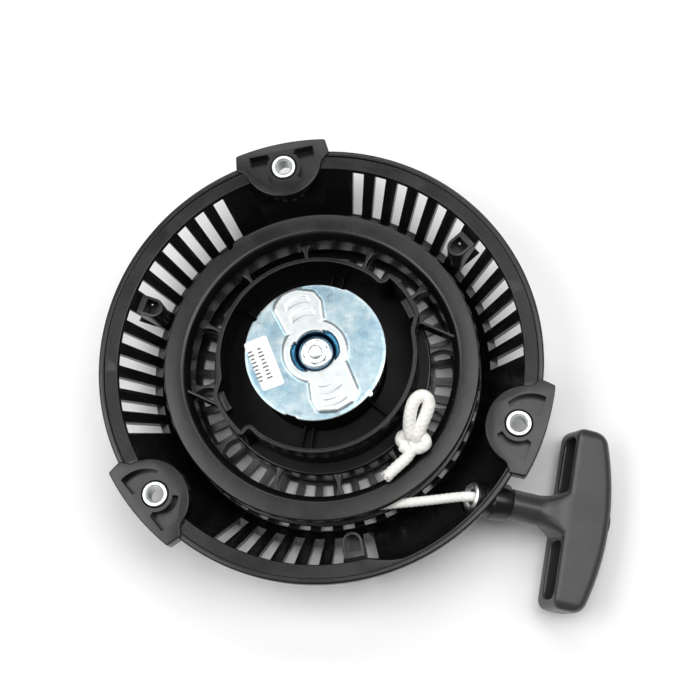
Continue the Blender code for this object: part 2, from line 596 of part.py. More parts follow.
def handle():
    place = handle_frame()
    half = BAR_THICK / 2
    body = prism("handle_grip", bar_outline(), -half, half, GREY, place)
    bevel = body.modifiers.new("Edges", "BEVEL")
    bevel.width = 2.4 * MM
    bevel.segments = 2
    bevel.limit_method = "ANGLE"
    bevel.angle_limit = math.radians(50)
    lying = place @ Matrix.Rotation(math.radians(90), 4, "Y")
    stem = [
        (0, STEM_START), (STEM_R - 0.8, STEM_START), (STEM_R, STEM_START + 0.8),
        (STEM_R, BAR_NEAR - 4.5),
        (STEM_R + 2.6, BAR_NEAR + 0.6), (STEM_R + 2.6, BAR_NEAR + 7.0), (0, BAR_NEAR + 7.0),
    ]
    boolean(body, turned("handle_stem", stem, GREY, 24, lying), "UNION")
    cores = bmesh.new()
    for side in (1, -1):
        low, high = sorted((BAR_MID_Y + 12.0 * side, BAR_MID_Y + 36.0 * side))
        outline = [(BAR_NEAR - 3.0, low), (BAR_NEAR + 12.0, low), (BAR_NEAR + 12.0, high),
                   (BAR_NEAR - 3.0, high)]
        add_prism(cores, outline, -half + 3.2, half - 3.6)
    boolean(body, put(finish("handle_cores", cores, GREY), place), "DIFFERENCE")

    floor, room = BAR_NEAR + 6.4, 8.6
    bore = [(0, -1.0), (HANDLE_BORE_R, -1.0), (HANDLE_BORE_R, floor), (room, floor),
            (room, BAR_FAR + 5.0), (0, BAR_FAR + 5.0)]
    boolean(body, turned("handle_bore", bore, GREY, 24, lying), "DIFFERENCE")
    washer = [(2.6, floor + GAP), (8.2, floor + GAP), (8.2, floor + 1.3), (2.6, floor + 1.3)]
    turned("handle_washer", washer, STEEL, 24, lying)
    base = floor + 1.7
    knot = [(0, base), (4.6, base), (5.6, base + 2.2), (5.6, base + 4.6), (4.2, base + 6.6),
            (0, base + 7.6)]
    turned("handle_knot", knot, ROPE, 20, lying)
    rope = [(0, 0.6), (ROPE_R, 0.6), (ROPE_R, base - GAP), (0, base - GAP)]
    turned("handle_rope", rope, ROPE, 12, lying)
    top = BAR_FAR - 0.2
    cap = [(0, top - 4.4), (8.2, top - 4.4), (8.2, top - 0.6), (7.6, top), (0, top)]
    turned("handle_cap", cap, GREY, 32, lying)


clear_scene()
starter_case()
ear_bushes()
rope_eyelet()
reel()
rope_wound()
rope_span()
reel_knot()
recoil_spring()
centre_fasteners()
ratchet_gear()
ratchet_guide()
guide_label()
handle()
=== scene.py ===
"""Looks of the recoil starter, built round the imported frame.

Lengths are in millimetres until MM turns them into metres.
"""

import math
import random

import bmesh
import bpy
import numpy as np
from mathutils import Matrix, Vector


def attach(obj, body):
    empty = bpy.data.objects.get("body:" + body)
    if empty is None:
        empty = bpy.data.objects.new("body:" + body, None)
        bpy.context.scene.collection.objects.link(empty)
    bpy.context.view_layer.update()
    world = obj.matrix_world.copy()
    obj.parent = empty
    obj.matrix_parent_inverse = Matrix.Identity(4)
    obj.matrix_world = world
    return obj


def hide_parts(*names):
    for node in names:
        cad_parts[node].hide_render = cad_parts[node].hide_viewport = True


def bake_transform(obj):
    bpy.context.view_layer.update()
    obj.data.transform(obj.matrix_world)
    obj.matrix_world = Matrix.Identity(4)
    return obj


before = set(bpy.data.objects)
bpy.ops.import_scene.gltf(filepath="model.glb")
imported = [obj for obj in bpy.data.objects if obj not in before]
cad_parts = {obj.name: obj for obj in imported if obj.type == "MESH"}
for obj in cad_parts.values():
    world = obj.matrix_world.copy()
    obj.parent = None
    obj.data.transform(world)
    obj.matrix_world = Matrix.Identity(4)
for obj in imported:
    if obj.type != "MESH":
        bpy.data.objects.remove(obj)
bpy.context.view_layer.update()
MM = 0.001
random.seed(7)

# ---------------------------------------------------------------- dimensions

# Housing
FLANGE_R, FLANGE_TOP, FLANGE_UNDER = 100.0, 38.0, 33.0
LEDGE_OUT_R, LEDGE_IN_R, LEDGE_Z = 97.4, 91.4, 36.8
FLOOR_R, FLOOR_T, WALL_T = 73.2, 3.0, 2.9
WALL_SLOPE = (LEDGE_IN_R - FLOOR_R) / (LEDGE_Z - 1.8 - FLOOR_T)
EAR_ANGLES = (108.0, -12.0, 228.0)
POST_ANGLES = (48.0, 168.0, 288.0)
EAR_PCD_R, EAR_EDGE_R, EAR_TOP, EAR_UNDER = 93.4, 105.5, 39.5, 31.0
SLOT_PITCH, FIRST_SLOT, SLOTS_A_SIDE, SLOT_WIDTH = 6.75, 4.75, 6, 3.3
SLOT_LOW_Z, SLOT_HIGH_Z = 9.5, 34.6
POST_R, POST_TOP, POST_BORE_R, POST_BORE_FLOOR = 8.5, 38.6, 5.3, 26.0
WALL_POST_MID, WALL_POST_R, WALL_POST_HOLLOW_R = 82.4, 4.6, 3.3
BUSH_R, BUSH_HOLE_R, BUSH_TOP, EAR_RECESS = 5.5, 3.3, 40.0, 5.0
GAP = 0.15

# Rope outlet
PULL_Y, BOSS_END_X, BOSS_END_Z, PULL_TILT = -52.5, 90.0, 25.5, 20.0
BOSS_R, BOSS_LEN, PAD_R, ROPE_HOLE_R = 8.0, 13.6, 7.3, 3.9
EYELET_T, EYELET_TILT = 17.0, 32.0
EYELET_R, EYELET_BARREL_R, EYELET_BORE_R, EYELET_LEN = 6.3, 4.7, 3.7, 4.2

# Reel
REEL_BORE_R, BOSS_TOP_R, BOSS_TOP_Z = 8.6, 29.0, 38.0
SPRING_POCKET_R, SPRING_WALL_R, REEL_LOW_Z, DECK_LOW_Z, DECK_Z = 47.5, 50.0, 6.0, 19.0, 22.0
CUP_R, CUP_WALL, CUP_TOP, POCKET_R = 44.6, 2.0, 46.5, 49.2
DRUM_IN_R, DRUM_OUT_R, RIM_R = 60.2, 62.6, 72.0
RIM_LOW_Z, GROOVE_LOW_Z, GROOVE_HIGH_Z, RIM_TOP_Z = 13.2, 16.0, 27.4, 30.2
RIB_COUNT, RIB_FIRST = 12, 16.0

# Ratchet gear
PLATE_R, PLATE_TOP, PLATE_T, WELL_R, WELL_Z = 31.2, 50.0, 1.5, 9.0, 42.4
RATCHET_PIVOT_R, RATCHET_ANGLES = 19.0, (-49.0, 131.0)
RATCHET_LOW, RATCHET_T, PIN_R = 38.5, 5.0, 2.0
STUD_R, STUD_TOP, NUT_FLANGE_R, NUT_AF = 3.0, 50.2, 7.4, 10.0

# Rope and handle
ROPE_R = 2.25
WINDING_R = DRUM_OUT_R + ROPE_R + 0.15
LOW_TURN_Z, HIGH_TURN_Z = GROOVE_LOW_Z + ROPE_R + 0.3, GROOVE_HIGH_Z - ROPE_R - 0.5
HANDLE_YAW = -3.0
STEM_R, STEM_START, BAR_NEAR, BAR_FAR, BAR_BOW = 7.0, 0.75, 23.8, 46.0, 7.2
BAR_MID_Y, BAR_HALF, BAR_THICK = -1.0, 40.2, 20.0
KNOT_FLOOR = BAR_NEAR + 6.4

# Camera: a near-overhead view, from this far away along a line tilted and rolled as given
VIEW_DISTANCE, VIEW_AZIMUTH, VIEW_ELEVATION, VIEW_ROLL = 600.0, -64.2, 73.78, -18.69
VIEW_SIDE, VIEW_RAISE, VIEW_LENS = 14.24, 3.66, 69.17

# ---------------------------------------------------------------- outlines


def polar(radius, degrees):
    angle = math.radians(degrees)
    return radius * math.cos(angle), radius * math.sin(angle)


def arc(radius, start, stop, steps, centre=(0.0, 0.0)):
    """Points on a circle from start to stop degrees, both ends included."""
    points = []
    for i in range(steps + 1):
        x, y = polar(radius, start + (stop - start) * i / steps)
        points.append((centre[0] + x, centre[1] + y))
    return points


def rounded(points, steps=4, closed=True):
    """Turns each corner given as (x, y, radius) into an arc."""
    result = []
    for i, point in enumerate(points):
        at = Vector(point[:2])
        end = not closed and i in (0, len(points) - 1)
        if len(point) < 3 or point[2] == 0 or end:
            result.append(tuple(at))
            continue
        back = Vector(points[i - 1][:2]) - at
        ahead = Vector(points[(i + 1) % len(points)][:2]) - at
        half = back.angle(ahead) / 2
        reach = min(point[2] / math.tan(half), 0.49 * back.length, 0.49 * ahead.length)
        radius = reach * math.tan(half)
        back.normalize()
        ahead.normalize()
        centre = at + (back + ahead).normalized() * (radius / math.sin(half))
        first, last = at + back * reach - centre, at + ahead * reach - centre
        begin = math.atan2(first.y, first.x)
        sweep = math.atan2(last.y, last.x) - begin
        sweep = (sweep + math.pi) % (2 * math.pi) - math.pi
        for k in range(steps + 1):
            angle = begin + sweep * k / steps
            result.append((centre.x + radius * math.cos(angle), centre.y + radius * math.sin(angle)))
    return result


def outline_normals(points):
    """Outward unit normals of a closed outline that runs anticlockwise."""
    line = np.array(points)
    tangent = np.roll(line, -1, axis=0) - np.roll(line, 1, axis=0)
    tangent /= np.maximum(np.linalg.norm(tangent, axis=1, keepdims=True), 1e-9)
    return np.stack([tangent[:, 1], -tangent[:, 0]], axis=1)


def smooth_path(route, spacing):
    """Points about spacing apart on a Catmull-Rom curve through the route."""
    knots = [Vector(p) for p in route]
    knots = [knots[0] * 2 - knots[1]] + knots + [knots[-1] * 2 - knots[-2]]
    points = [knots[1]]
    for a, b, c, d in zip(knots, knots[1:], knots[2:], knots[3:]):
        count = max(1, round((c - b).length / spacing))
        for i in range(1, count + 1):
            t = i / count
            points.append(
                0.5 * (2 * b + (c - a) * t + (2 * a - 5 * b + 4 * c - d) * t**2
                       + (3 * b - a - 3 * c + d) * t**3)
            )
    return points


def wall_radius(z):
    return FLOOR_R + (z - FLOOR_T) * WALL_SLOPE


# ---------------------------------------------------------------- frames


def turn(degrees):
    return Matrix.Rotation(math.radians(degrees), 4, "Z")


def shifted(x, y, z):
    return Matrix.Translation((x, y, z))


def along(angle_down):
    tilt = math.radians(angle_down)
    return Vector((math.cos(tilt), 0.0, -math.sin(tilt)))


PULL = along(PULL_TILT)
UP = Vector((0.0, 0.0, 1.0))
BOSS_END = Vector((BOSS_END_X, PULL_Y, BOSS_END_Z))
EYELET_AT = BOSS_END - PULL * EYELET_T


def axis_frame(origin, angle_down):
    """Local +Z leans down along the pull, local Y stays level."""
    z = along(angle_down)
    y = Vector((0.0, 1.0, 0.0))
    place = Matrix((y.cross(z), y, z)).transposed().to_4x4()
    place.translation = origin
    return place


def handle_frame():
    y = Vector((0.0, 1.0, 0.0))
    place = Matrix((PULL, y, PULL.cross(y))).transposed().to_4x4() @ turn(HANDLE_YAW)
    place.translation = BOSS_END
    return place


LYING = Matrix.Rotation(math.radians(90), 4, "Y")


def place_metres(place):
    placed = place.copy()
    placed.translation *= MM
    return placed


# ---------------------------------------------------------------- mesh building


class Shape:
    """Points in millimetres and the faces between them."""

    def __init__(self):
        self.points = []
        self.faces = []

    def rows(self, rows, wrap_rows=False, wrap_ring=True, caps=False):
        """Skins a list of equal rings of points."""
        base, count = len(self.points), len(rows[0])
        for row in rows:
            self.points.extend(tuple(p) for p in row)
        pairs = len(rows) if wrap_rows else len(rows) - 1
        for i in range(pairs):
            a, b = base + i * count, base + ((i + 1) % len(rows)) * count
            for k in range(count if wrap_ring else count - 1):
                n = (k + 1) % count
                self.faces.append((a + k, a + n, b + n, b + k))
        if caps:
            self.faces.append(tuple(base + k for k in reversed(range(count))))
            self.faces.append(tuple(base + (len(rows) - 1) * count + k for k in range(count)))
        return self

    def lathe(self, profile, steps, place=None, start=0.0, sweep=360.0):
        """Turns a closed (r, z) profile about Z; a profile that starts and ends at r = 0 meets the axis."""
        whole = sweep >= 360.0
        spokes = steps if whole else steps + 1
        rows = []
        for i in range(spokes):
            angle = start + sweep * i / steps
            rows.append([Vector((*polar(r, angle), z)) for r, z in profile])
        if place:
            rows = [[place @ p for p in row] for row in rows]
        on_axis = profile[0][0] == 0
        self.rows(rows, wrap_rows=whole, wrap_ring=not on_axis, caps=not whole)
        return self

    def slab(self, outline, low, high, round_top=0.0, round_low=0.0, place=None):
        """An outline pulled from low to high, with rounded edges."""
        line, out = np.array(outline), outline_normals(outline)
        if sum(a[0] * b[1] - b[0] * a[1] for a, b in zip(outline, outline[1:] + outline[:1])) < 0:
            out = -out
        levels = []
        for radius, at, sign in ((round_low, low, 1), (round_top, high, -1)):
            steps = 4 if radius else 0
            ring = [(0.0, at)] if not radius else []
            for k in range(steps + 1 if radius else 0):
                angle = math.pi / 2 * k / steps
                ring.append((radius * (1 - math.sin(angle)), at + sign * radius * (1 - math.cos(angle))))
            levels.append(ring)
        profile = levels[0] + levels[1][::-1]
        rows = [[Vector((*(p - n * inset), z)) for p, n in zip(line, out)] for inset, z in profile]
        if place:
            rows = [[place @ p for p in row] for row in rows]
        return self.rows(rows, caps=True)


def bake(name, shape, tidy=True):
    """A mesh object from a shape, not yet dressed."""
    mesh = bpy.data.meshes.new(name)
    scaled = [(x * MM, y * MM, z * MM) for x, y, z in shape.points]
    mesh.from_pydata(scaled, [], shape.faces)
    bm = bmesh.new()
    bm.from_mesh(mesh)
    bmesh.ops.remove_doubles(bm, verts=bm.verts, dist=1e-7)
    if tidy:
        bmesh.ops.recalc_face_normals(bm, faces=bm.faces)
    bm.to_mesh(mesh)
    bm.free()
    made = bpy.data.objects.new(name, mesh)
    bpy.context.scene.collection.objects.link(made)
    return made


def combine(target, other, operation):
    """Applies a Boolean to the first object; the second one goes."""
    modifier = target.modifiers.new("combine", "BOOLEAN")
    modifier.operation = operation
    modifier.solver = "EXACT"
    modifier.object = other
    graph = bpy.context.evaluated_depsgraph_get()
    mesh = bpy.data.meshes.new_from_object(target.evaluated_get(graph))
    target.modifiers.remove(modifier)
    target.data = mesh
    bpy.data.objects.remove(other)


def soften(made, width, angle, segments):
    """Small rounded edges on a finished solid."""
    modifier = made.modifiers.new("edges", "BEVEL")
    modifier.width = width * MM
    modifier.segments = segments
    modifier.limit_method = "ANGLE"
    modifier.angle_limit = math.radians(angle)


def mould(made, cell, passes):
    """Turns a solid into one even skin and eases its corners, as a moulded part has."""
    skin = made.modifiers.new("skin", "REMESH")
    skin.mode = "VOXEL"
    skin.voxel_size = cell * MM
    ease_off = made.modifiers.new("ease", "SMOOTH")
    ease_off.factor = 0.5
    ease_off.iterations = passes
    graph = bpy.context.evaluated_depsgraph_get()
    mesh = bpy.data.meshes.new_from_object(made.evaluated_get(graph))
    made.modifiers.clear()
    made.data = mesh


def dress(made, material, body, replaced=(), crease=38.0):
    """Shades, paints and hangs a piece on its body."""
    made.data.materials.clear()
    made.data.materials.append(material)
    made.data.shade_smooth()
    made.data.set_sharp_from_angle(angle=math.radians(crease))
    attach(made, body)
    if replaced:
        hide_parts(*replaced)


# ---------------------------------------------------------------- materials


class Paint:
    """Small helper that builds a Principled material from nodes."""

    def __init__(self, name, roughness, metallic=0.0, **shader_values):
        self.material = bpy.data.materials.new(name)
        self.material.use_nodes = True
        self.tree = self.material.node_tree
        self.shader = self.tree.nodes["Principled BSDF"]
        self.shader.inputs["Roughness"].default_value = roughness
        self.shader.inputs["Metallic"].default_value = metallic
        for key, value in shader_values.items():
            self.shader.inputs[key.replace("_", " ")].default_value = value
        self.coords = self.tree.nodes.new("ShaderNodeTexCoord").outputs["Object"]

    def node(self, kind, **values):
        made = self.tree.nodes.new(kind)
        for key, value in values.items():
            setattr(made, key, value)
        return made

    def link(self, out, into):
        self.tree.links.new(out, into)

    def noise(self, scale, detail=3.0, roughness=0.5):
        """Noise whose grain is 1 / scale metres."""
        made = self.node("ShaderNodeTexNoise")
        made.inputs["Scale"].default_value = scale
        made.inputs["Detail"].default_value = detail
        made.inputs["Roughness"].default_value = roughness
        self.link(self.coords, made.inputs["Vector"])
        return made.outputs["Fac"]

    def ramp(self, source, stops):
        made = self.node("ShaderNodeValToRGB")
        ramp = made.color_ramp
        ramp.elements[0].position, ramp.elements[-1].position = stops[0][0], stops[-1][0]
        for position, _ in stops[1:-1]:
            ramp.elements.new(position)
        for element, (_, colour) in zip(ramp.elements, stops):
            if isinstance(colour, (int, float)):
                colour = (colour, colour, colour)
            element.color = (*colour, 1.0)
        self.link(source, made.inputs["Fac"])
        return made.outputs["Color"]

    def colour(self, out):
        self.link(out, self.shader.inputs["Base Color"])

    def rough(self, source, low, high):
        made = self.node("ShaderNodeMapRange")
        made.inputs["To Min"].default_value = low
        made.inputs["To Max"].default_value = high
        made.inputs["From Min"].default_value = 0.3
        made.inputs["From Max"].default_value = 0.7
        self.link(source, made.inputs["Value"])
        self.link(made.outputs["Result"], self.shader.inputs["Roughness"])

    def bump(self, *layers):
        """Stacks (height source, distance in millimetres) layers of bump."""
        normal = None
        for source, distance in layers:
            made = self.node("ShaderNodeBump")
            made.inputs["Distance"].default_value = distance * MM
            self.link(source, made.inputs["Height"])
            if normal:
                self.link(normal, made.inputs["Normal"])
            normal = made.outputs["Normal"]
        self.link(normal, self.shader.inputs["Normal"])


def moulded_plastic(name, dark, light, rough, grain=0.02, level=0.45):
    """Matte moulded plastic with flow marks, a fine grain and sparse dust."""
    paint = Paint(name, rough[0], Specular_IOR_Level=level)
    cloud = paint.noise(28.0, 4.0, 0.6)
    base = paint.ramp(cloud, ((0.3, dark), (0.7, light)))
    specks = paint.ramp(paint.noise(620.0, 2.0, 0.6), ((0.71, 0.0), (0.78, 1.0)))
    mix = paint.node("ShaderNodeMix", data_type="RGBA")
    paint.link(specks, mix.inputs["Factor"])
    paint.link(base, mix.inputs["A"])
    mix.inputs["B"].default_value = (light * 3.2, light * 3.2, light * 3.1, 1.0)
    paint.colour(mix.outputs["Result"])
    paint.rough(paint.noise(60.0, 3.0, 0.6), *rough)
    paint.bump((paint.noise(2600.0, 2.0, 0.6), grain), (paint.noise(150.0, 3.0, 0.5), grain * 1.5))
    return paint.material


def plated(name, tones, rough, grain=0.006, scale=90.0):
    """Zinc plate: mottled cloudy tones over fine spangle."""
    paint = Paint(name, rough[0], 1.0)
    cloud = paint.noise(scale, 9.0, 0.82)
    paint.colour(paint.ramp(cloud, tones))
    paint.rough(paint.noise(scale * 3.0, 4.0, 0.6), *rough)
    paint.bump((paint.noise(900.0, 3.0, 0.6), grain), (paint.noise(120.0, 2.0, 0.5), grain * 2.0))
    return paint.material


def woven(name, tones):
    """Cord: soft, fibrous, a little grubby in places."""
    paint = Paint(name, 0.85, Sheen_Weight=0.4, Sheen_Roughness=0.5, Subsurface_Weight=0.08)
    paint.shader.inputs["Subsurface Radius"].default_value = (0.002, 0.0018, 0.0014)
    paint.colour(paint.ramp(paint.noise(240.0, 4.0, 0.65), tones))
    paint.bump((paint.noise(3400.0, 3.0, 0.7), 0.09), (paint.noise(900.0, 2.0, 0.5), 0.12))
    return paint.material


def paper(name):
    paint = Paint(name, 0.55, Specular_IOR_Level=0.35)
    paint.colour(paint.ramp(paint.noise(300.0), ((0.3, (0.93, 0.93, 0.92)), (0.7, (0.96, 0.96, 0.96)))))
    paint.bump((paint.noise(1500.0), 0.01))
    return paint.material


def ink(name):
    paint = Paint(name, 0.6)
    paint.colour(paint.ramp(paint.noise(1200.0), ((0.3, 0.05), (0.7, 0.12))))
    return paint.material


CASE = moulded_plastic("case_plastic", 0.0035, 0.0055, (0.20, 0.31))
REEL = moulded_plastic("reel_plastic", 0.004, 0.006, (0.21, 0.32))
# Painted shade: a darker, less reflective copy of the reel plastic for the deck inside the cup, where the
# cup's walls shade it.
DECK_SHADE = moulded_plastic("reel_deck_painted_shade", 0.0015, 0.0028, (0.42, 0.55), level=0.14)
GRIP = moulded_plastic("handle_plastic", 0.030, 0.038, (0.26, 0.36), 0.012)
ZINC_TONES = ((0.36, (0.20, 0.33, 0.42)), (0.50, (0.34, 0.45, 0.50)), (0.64, (0.52, 0.58, 0.60)))
# Painted highlight: lighter zinc tones for the raised lobes and the plate's rounded rim, where they catch
# the lamps.
PLATE_HIGHLIGHT_TONES = ((0.3, (0.52, 0.56, 0.57)), (0.7, (0.63, 0.66, 0.66)))
BRIGHT_TONES = ((0.3, (0.80, 0.83, 0.84)), (0.7, (0.93, 0.95, 0.95)))
# Painted shade, tinted blue: very dark tones for the well round the nut, its crescents and the underside
# near it.
WELL_SHADE_TONES = ((0.35, (0.012, 0.06, 0.13)), (0.65, (0.05, 0.19, 0.30)))
STEEL_TONES = ((0.3, (0.42, 0.43, 0.45)), (0.7, (0.58, 0.59, 0.60)))
ROPE_TONES = ((0.3, (0.80, 0.78, 0.71)), (0.5, (0.93, 0.92, 0.87)), (0.7, (0.97, 0.96, 0.93)))
PLATE = plated("guide_zinc", ZINC_TONES, (0.26, 0.40))
# Painted highlight: the lighter copy of the plate's zinc.
PLATE_HIGHLIGHT = plated("guide_painted_highlight_zinc", PLATE_HIGHLIGHT_TONES, (0.30, 0.40), 0.003)
BRIGHT = plated("fastener_zinc", BRIGHT_TONES, (0.28, 0.42))
# Painted shade: the dark blue copy of the plate's zinc for the well.
WELL_SHADE = plated("well_painted_shade_blue", WELL_SHADE_TONES, (0.22, 0.36), scale=160.0)
STEEL = plated("bare_steel", STEEL_TONES, (0.30, 0.42))
ROPE = woven("rope_braid", ROPE_TONES)
PAPER = paper("label_paper")
INK = ink("label_ink")

# ---------------------------------------------------------------- camera, light and floor


def add_camera():
    azimuth, elevation, roll = (math.radians(v) for v in (VIEW_AZIMUTH, VIEW_ELEVATION, VIEW_ROLL))
    reach = math.cos(elevation)
    back = Vector((reach * math.cos(azimuth), reach * math.sin(azimuth), math.sin(elevation)))
    level = Vector((-math.sin(azimuth), math.cos(azimuth), 0.0))
    right = level * math.cos(roll) + back.cross(level) * math.sin(roll)
    up = back.cross(right)
    data = bpy.data.cameras.new("camera")
    data.sensor_width = 36.0
    data.lens = VIEW_LENS
    camera = bpy.data.objects.new("camera", data)
    place = Matrix((right, up, back)).transposed().to_4x4()
    at = Vector((0, 0, FLANGE_TOP)) + right * VIEW_SIDE + up * VIEW_RAISE + back * VIEW_DISTANCE
    place.translation = at * MM
    camera.matrix_world = place
    bpy.context.scene.collection.objects.link(camera)
    bpy.context.scene.camera = camera


def add_light(name, size, power, at):
    """A softbox that faces straight down. Its size and place are in metres."""
    data = bpy.data.lights.new(name, "AREA")
    data.shape = "RECTANGLE"
    data.size, data.size_y = size
    data.energy = power
    light = bpy.data.objects.new(name, data)
    light.location = at
    light.rotation_euler = Vector((0.0, 0.0, -1.0)).to_track_quat("-Z", "Y").to_euler()
    bpy.context.scene.collection.objects.link(light)


def add_studio():
    world = bpy.data.worlds.new("studio")
    world.use_nodes = True
    background = world.node_tree.nodes["Background"]
    background.inputs["Color"].default_value = (1.0, 1.0, 1.0, 1.0)
    background.inputs["Strength"].default_value = 0.22
    bpy.context.scene.world = world
    bpy.context.scene.view_settings.view_transform = "Standard"
    # Softboxes overhead, with darker gaps between them.
    add_light("left_softbox", (0.66, 0.62), 5.0, (-0.53, -0.11, 0.83))
    add_light("right_softbox", (1.04, 0.46), 5.6, (0.50, 0.09, 0.83))
    add_light("back_softbox", (0.90, 0.36), 2.8, (-0.05, 0.62, 0.83))

    size = 3000.0
    shape = Shape()
    shape.points = [(-size, -size, -0.1), (size, -size, -0.1), (size, size, -0.1), (-size, size, -0.1)]
    shape.faces = [(0, 1, 2, 3)]
    floor = bake("floor", shape, tidy=False)
    paint = Paint("floor_paper", 0.9, Specular_IOR_Level=0.1)
    paint.shader.inputs["Base Color"].default_value = (0.97, 0.97, 0.97, 1.0)
    floor.data.materials.append(paint.material)


# ---------------------------------------------------------------- housing


def slot_angles():
    """Middles of the wall slots: six on each side of each wall post, fewer by the rope outlet."""
    angles = []
    for post in POST_ANGLES:
        for i in range(SLOTS_A_SIDE):
            angles.append(post - FIRST_SLOT - SLOT_PITCH * i)
            if post != POST_ANGLES[2] or i == 0:
                angles.append(post + FIRST_SLOT + SLOT_PITCH * i)
    return angles


def ear_outline():
    """Ear pad about its bush: x outwards, y along the rim."""
    rim = [(x - EAR_PCD_R, y) for x, y in arc(EAR_EDGE_R, -11.6, 11.6, 12)]
    inner = arc(18.4, 102.5, 257.5, 40, centre=(4.0, 0.0))
    first, last = (*rim[0], 1.2), (*rim[-1], 1.2)
    return rounded([(3.0, -22.0, 0.8), first] + rim[1:-1] + [last, (3.0, 22.0, 0.8)] + inner)


def crescent_outline(side):
    """Recess beside the bush, wider in the middle than at its ends."""
    inner = arc(7.9, 44.0, 136.0, 14)
    outer = arc(15.1, 151.0, 84.0, 14, centre=(5.7, 0.0))
    points = rounded([(7.7, 6.3, 0.9)] + inner + [(-7.5, 7.3, 0.7)] + outer[1:] + [(7.8, 14.9, 1.6)])
    return [(x, y * side) for x, y in points]


def case_shell():
    """Floor, wall, ledge, flange and centre post, turned in one."""
    cone_foot = wall_radius(FLOOR_T) + WALL_T
    profile = rounded([
        (0.0, 0.0), (cone_foot - 0.9, 0.0, 3.2), (wall_radius(FLANGE_UNDER) + WALL_T, FLANGE_UNDER, 1.2),
        (FLANGE_R, FLANGE_UNDER, 1.2), (FLANGE_R, FLANGE_TOP, 0.9), (LEDGE_OUT_R, FLANGE_TOP, 0.45),
        (LEDGE_OUT_R, LEDGE_Z, 0.3), (LEDGE_IN_R, LEDGE_Z, 0.6), (wall_radius(LEDGE_Z - 1.8), LEDGE_Z - 1.8),
        (FLOOR_R, FLOOR_T, 1.2), (POST_R + 2.0, FLOOR_T, 0.6), (POST_R + 2.0, REEL_LOW_Z - 0.6, 0.3),
        (POST_R, REEL_LOW_Z - 0.6), (POST_R, POST_TOP, 0.5),
        (POST_BORE_R, POST_TOP, 0.3), (POST_BORE_R, POST_BORE_FLOOR), (0.0, POST_BORE_FLOOR),
    ], closed=False)
    return bake("starter_case_shell", Shape().lathe(profile, 180))


def add_outlet_bulge(case):
    """Beside the rope outlet the wall bulges out to the lip, and the ledge tapers away."""
    outside, inside = [], []
    for k in range(56):
        angle = -75.0 + k
        bulge = ease(angle, -73.0, -58.0)
        shell = [(wall_radius(17.0) + 1.0, 17.0), (wall_radius(26.0) + 1.2 + 4.2 * bulge, 25.4),
                 (93.2 + 5.4 * bulge, 33.3), (92.0, 33.4), (wall_radius(26.0) + 0.6, 26.6)]
        hollow = [
            (79.0, 39.0), (91.0 + 6.1 * bulge, 39.0), (90.5 + 6.0 * bulge, 36.2),
            (wall_radius(26.0) - 0.2 + 3.4 * bulge, 26.0), (wall_radius(20.0) - 0.3, 20.0), (79.0, 20.5),
        ]
        outside.append([(*polar(r, angle), z) for r, z in shell])
        inside.append([(*polar(r, angle), z) for r, z in hollow])
    combine(case, bake("outlet_bulge", Shape().rows(outside, caps=True)), "UNION")
    combine(case, bake("outlet_hollow", Shape().rows(inside, caps=True)), "DIFFERENCE")


def add_ears_and_posts(case):
    solids = Shape()
    for angle in EAR_ANGLES:
        place = turn(angle) @ shifted(EAR_PCD_R, 0, 0)
        solids.slab(ear_outline(), EAR_UNDER, EAR_TOP, 0.6, 0.4, place)
    for angle in POST_ANGLES:
        post = [(92.0, -WALL_POST_R), (92.0, WALL_POST_R)]
        post += arc(WALL_POST_R, 90.0, 270.0, 18, centre=(WALL_POST_MID, 0.0))
        solids.slab(post, 13.5, 31.0, 0.5, 0.0, turn(angle))
    combine(case, bake("case_solids", solids), "UNION")
    # The wall posts stop at the wall's outer face.
    low, high, outside = 14.0, 32.6, 110.0
    skirt = [(wall_radius(low) + 2.0, low), (outside, low), (outside, high), (wall_radius(high) + 2.0, high)]
    trims = Shape()
    for angle in POST_ANGLES:
        trims.lathe(skirt, 4, None, angle - 3.55, 7.1)
    combine(case, bake("case_trims", trims), "DIFFERENCE")


def add_outlet_boss(case):
    """The boss outside the wall, the eyelet's pad inside it, and the rope's way through both."""
    boss = rounded([(0, 1.5), (PAD_R, 1.5), (PAD_R, 4.2), (BOSS_R + 0.4, 5.6, 0.8),
                    (BOSS_R, BOSS_LEN, 0.7), (0, BOSS_LEN)], closed=False)
    stump = Shape().lathe(boss, 64, axis_frame(BOSS_END - PULL * BOSS_LEN, PULL_TILT))
    combine(case, bake("case_boss", stump), "UNION")
    seat = axis_frame(EYELET_AT, EYELET_TILT)
    pad = rounded([(0, 0.2), (PAD_R, 0.2, 0.5), (PAD_R, 9.0), (0, 9.0)], closed=False)
    combine(case, bake("case_pad", Shape().lathe(pad, 64, seat)), "UNION")
    hole = axis_frame(BOSS_END - PULL * 22.0, PULL_TILT)
    bore = [(0, 0), (ROPE_HOLE_R, 0), (ROPE_HOLE_R, 21.2), (ROPE_HOLE_R + 1.6, 24.0), (0, 24.0)]
    combine(case, bake("case_bore", Shape().lathe(bore, 48, hole)), "DIFFERENCE")
    spot = [
        (0, -9.0), (PAD_R - 0.4, -9.0), (PAD_R - 0.4, 0.6), (EYELET_R + GAP, 0.6), (EYELET_R + GAP, 1.25),
        (EYELET_BARREL_R + GAP, 1.25), (EYELET_BARREL_R + GAP, EYELET_LEN + 1.0), (0, EYELET_LEN + 1.0),
    ]
    combine(case, bake("case_seat", Shape().lathe(spot, 64, seat)), "DIFFERENCE")


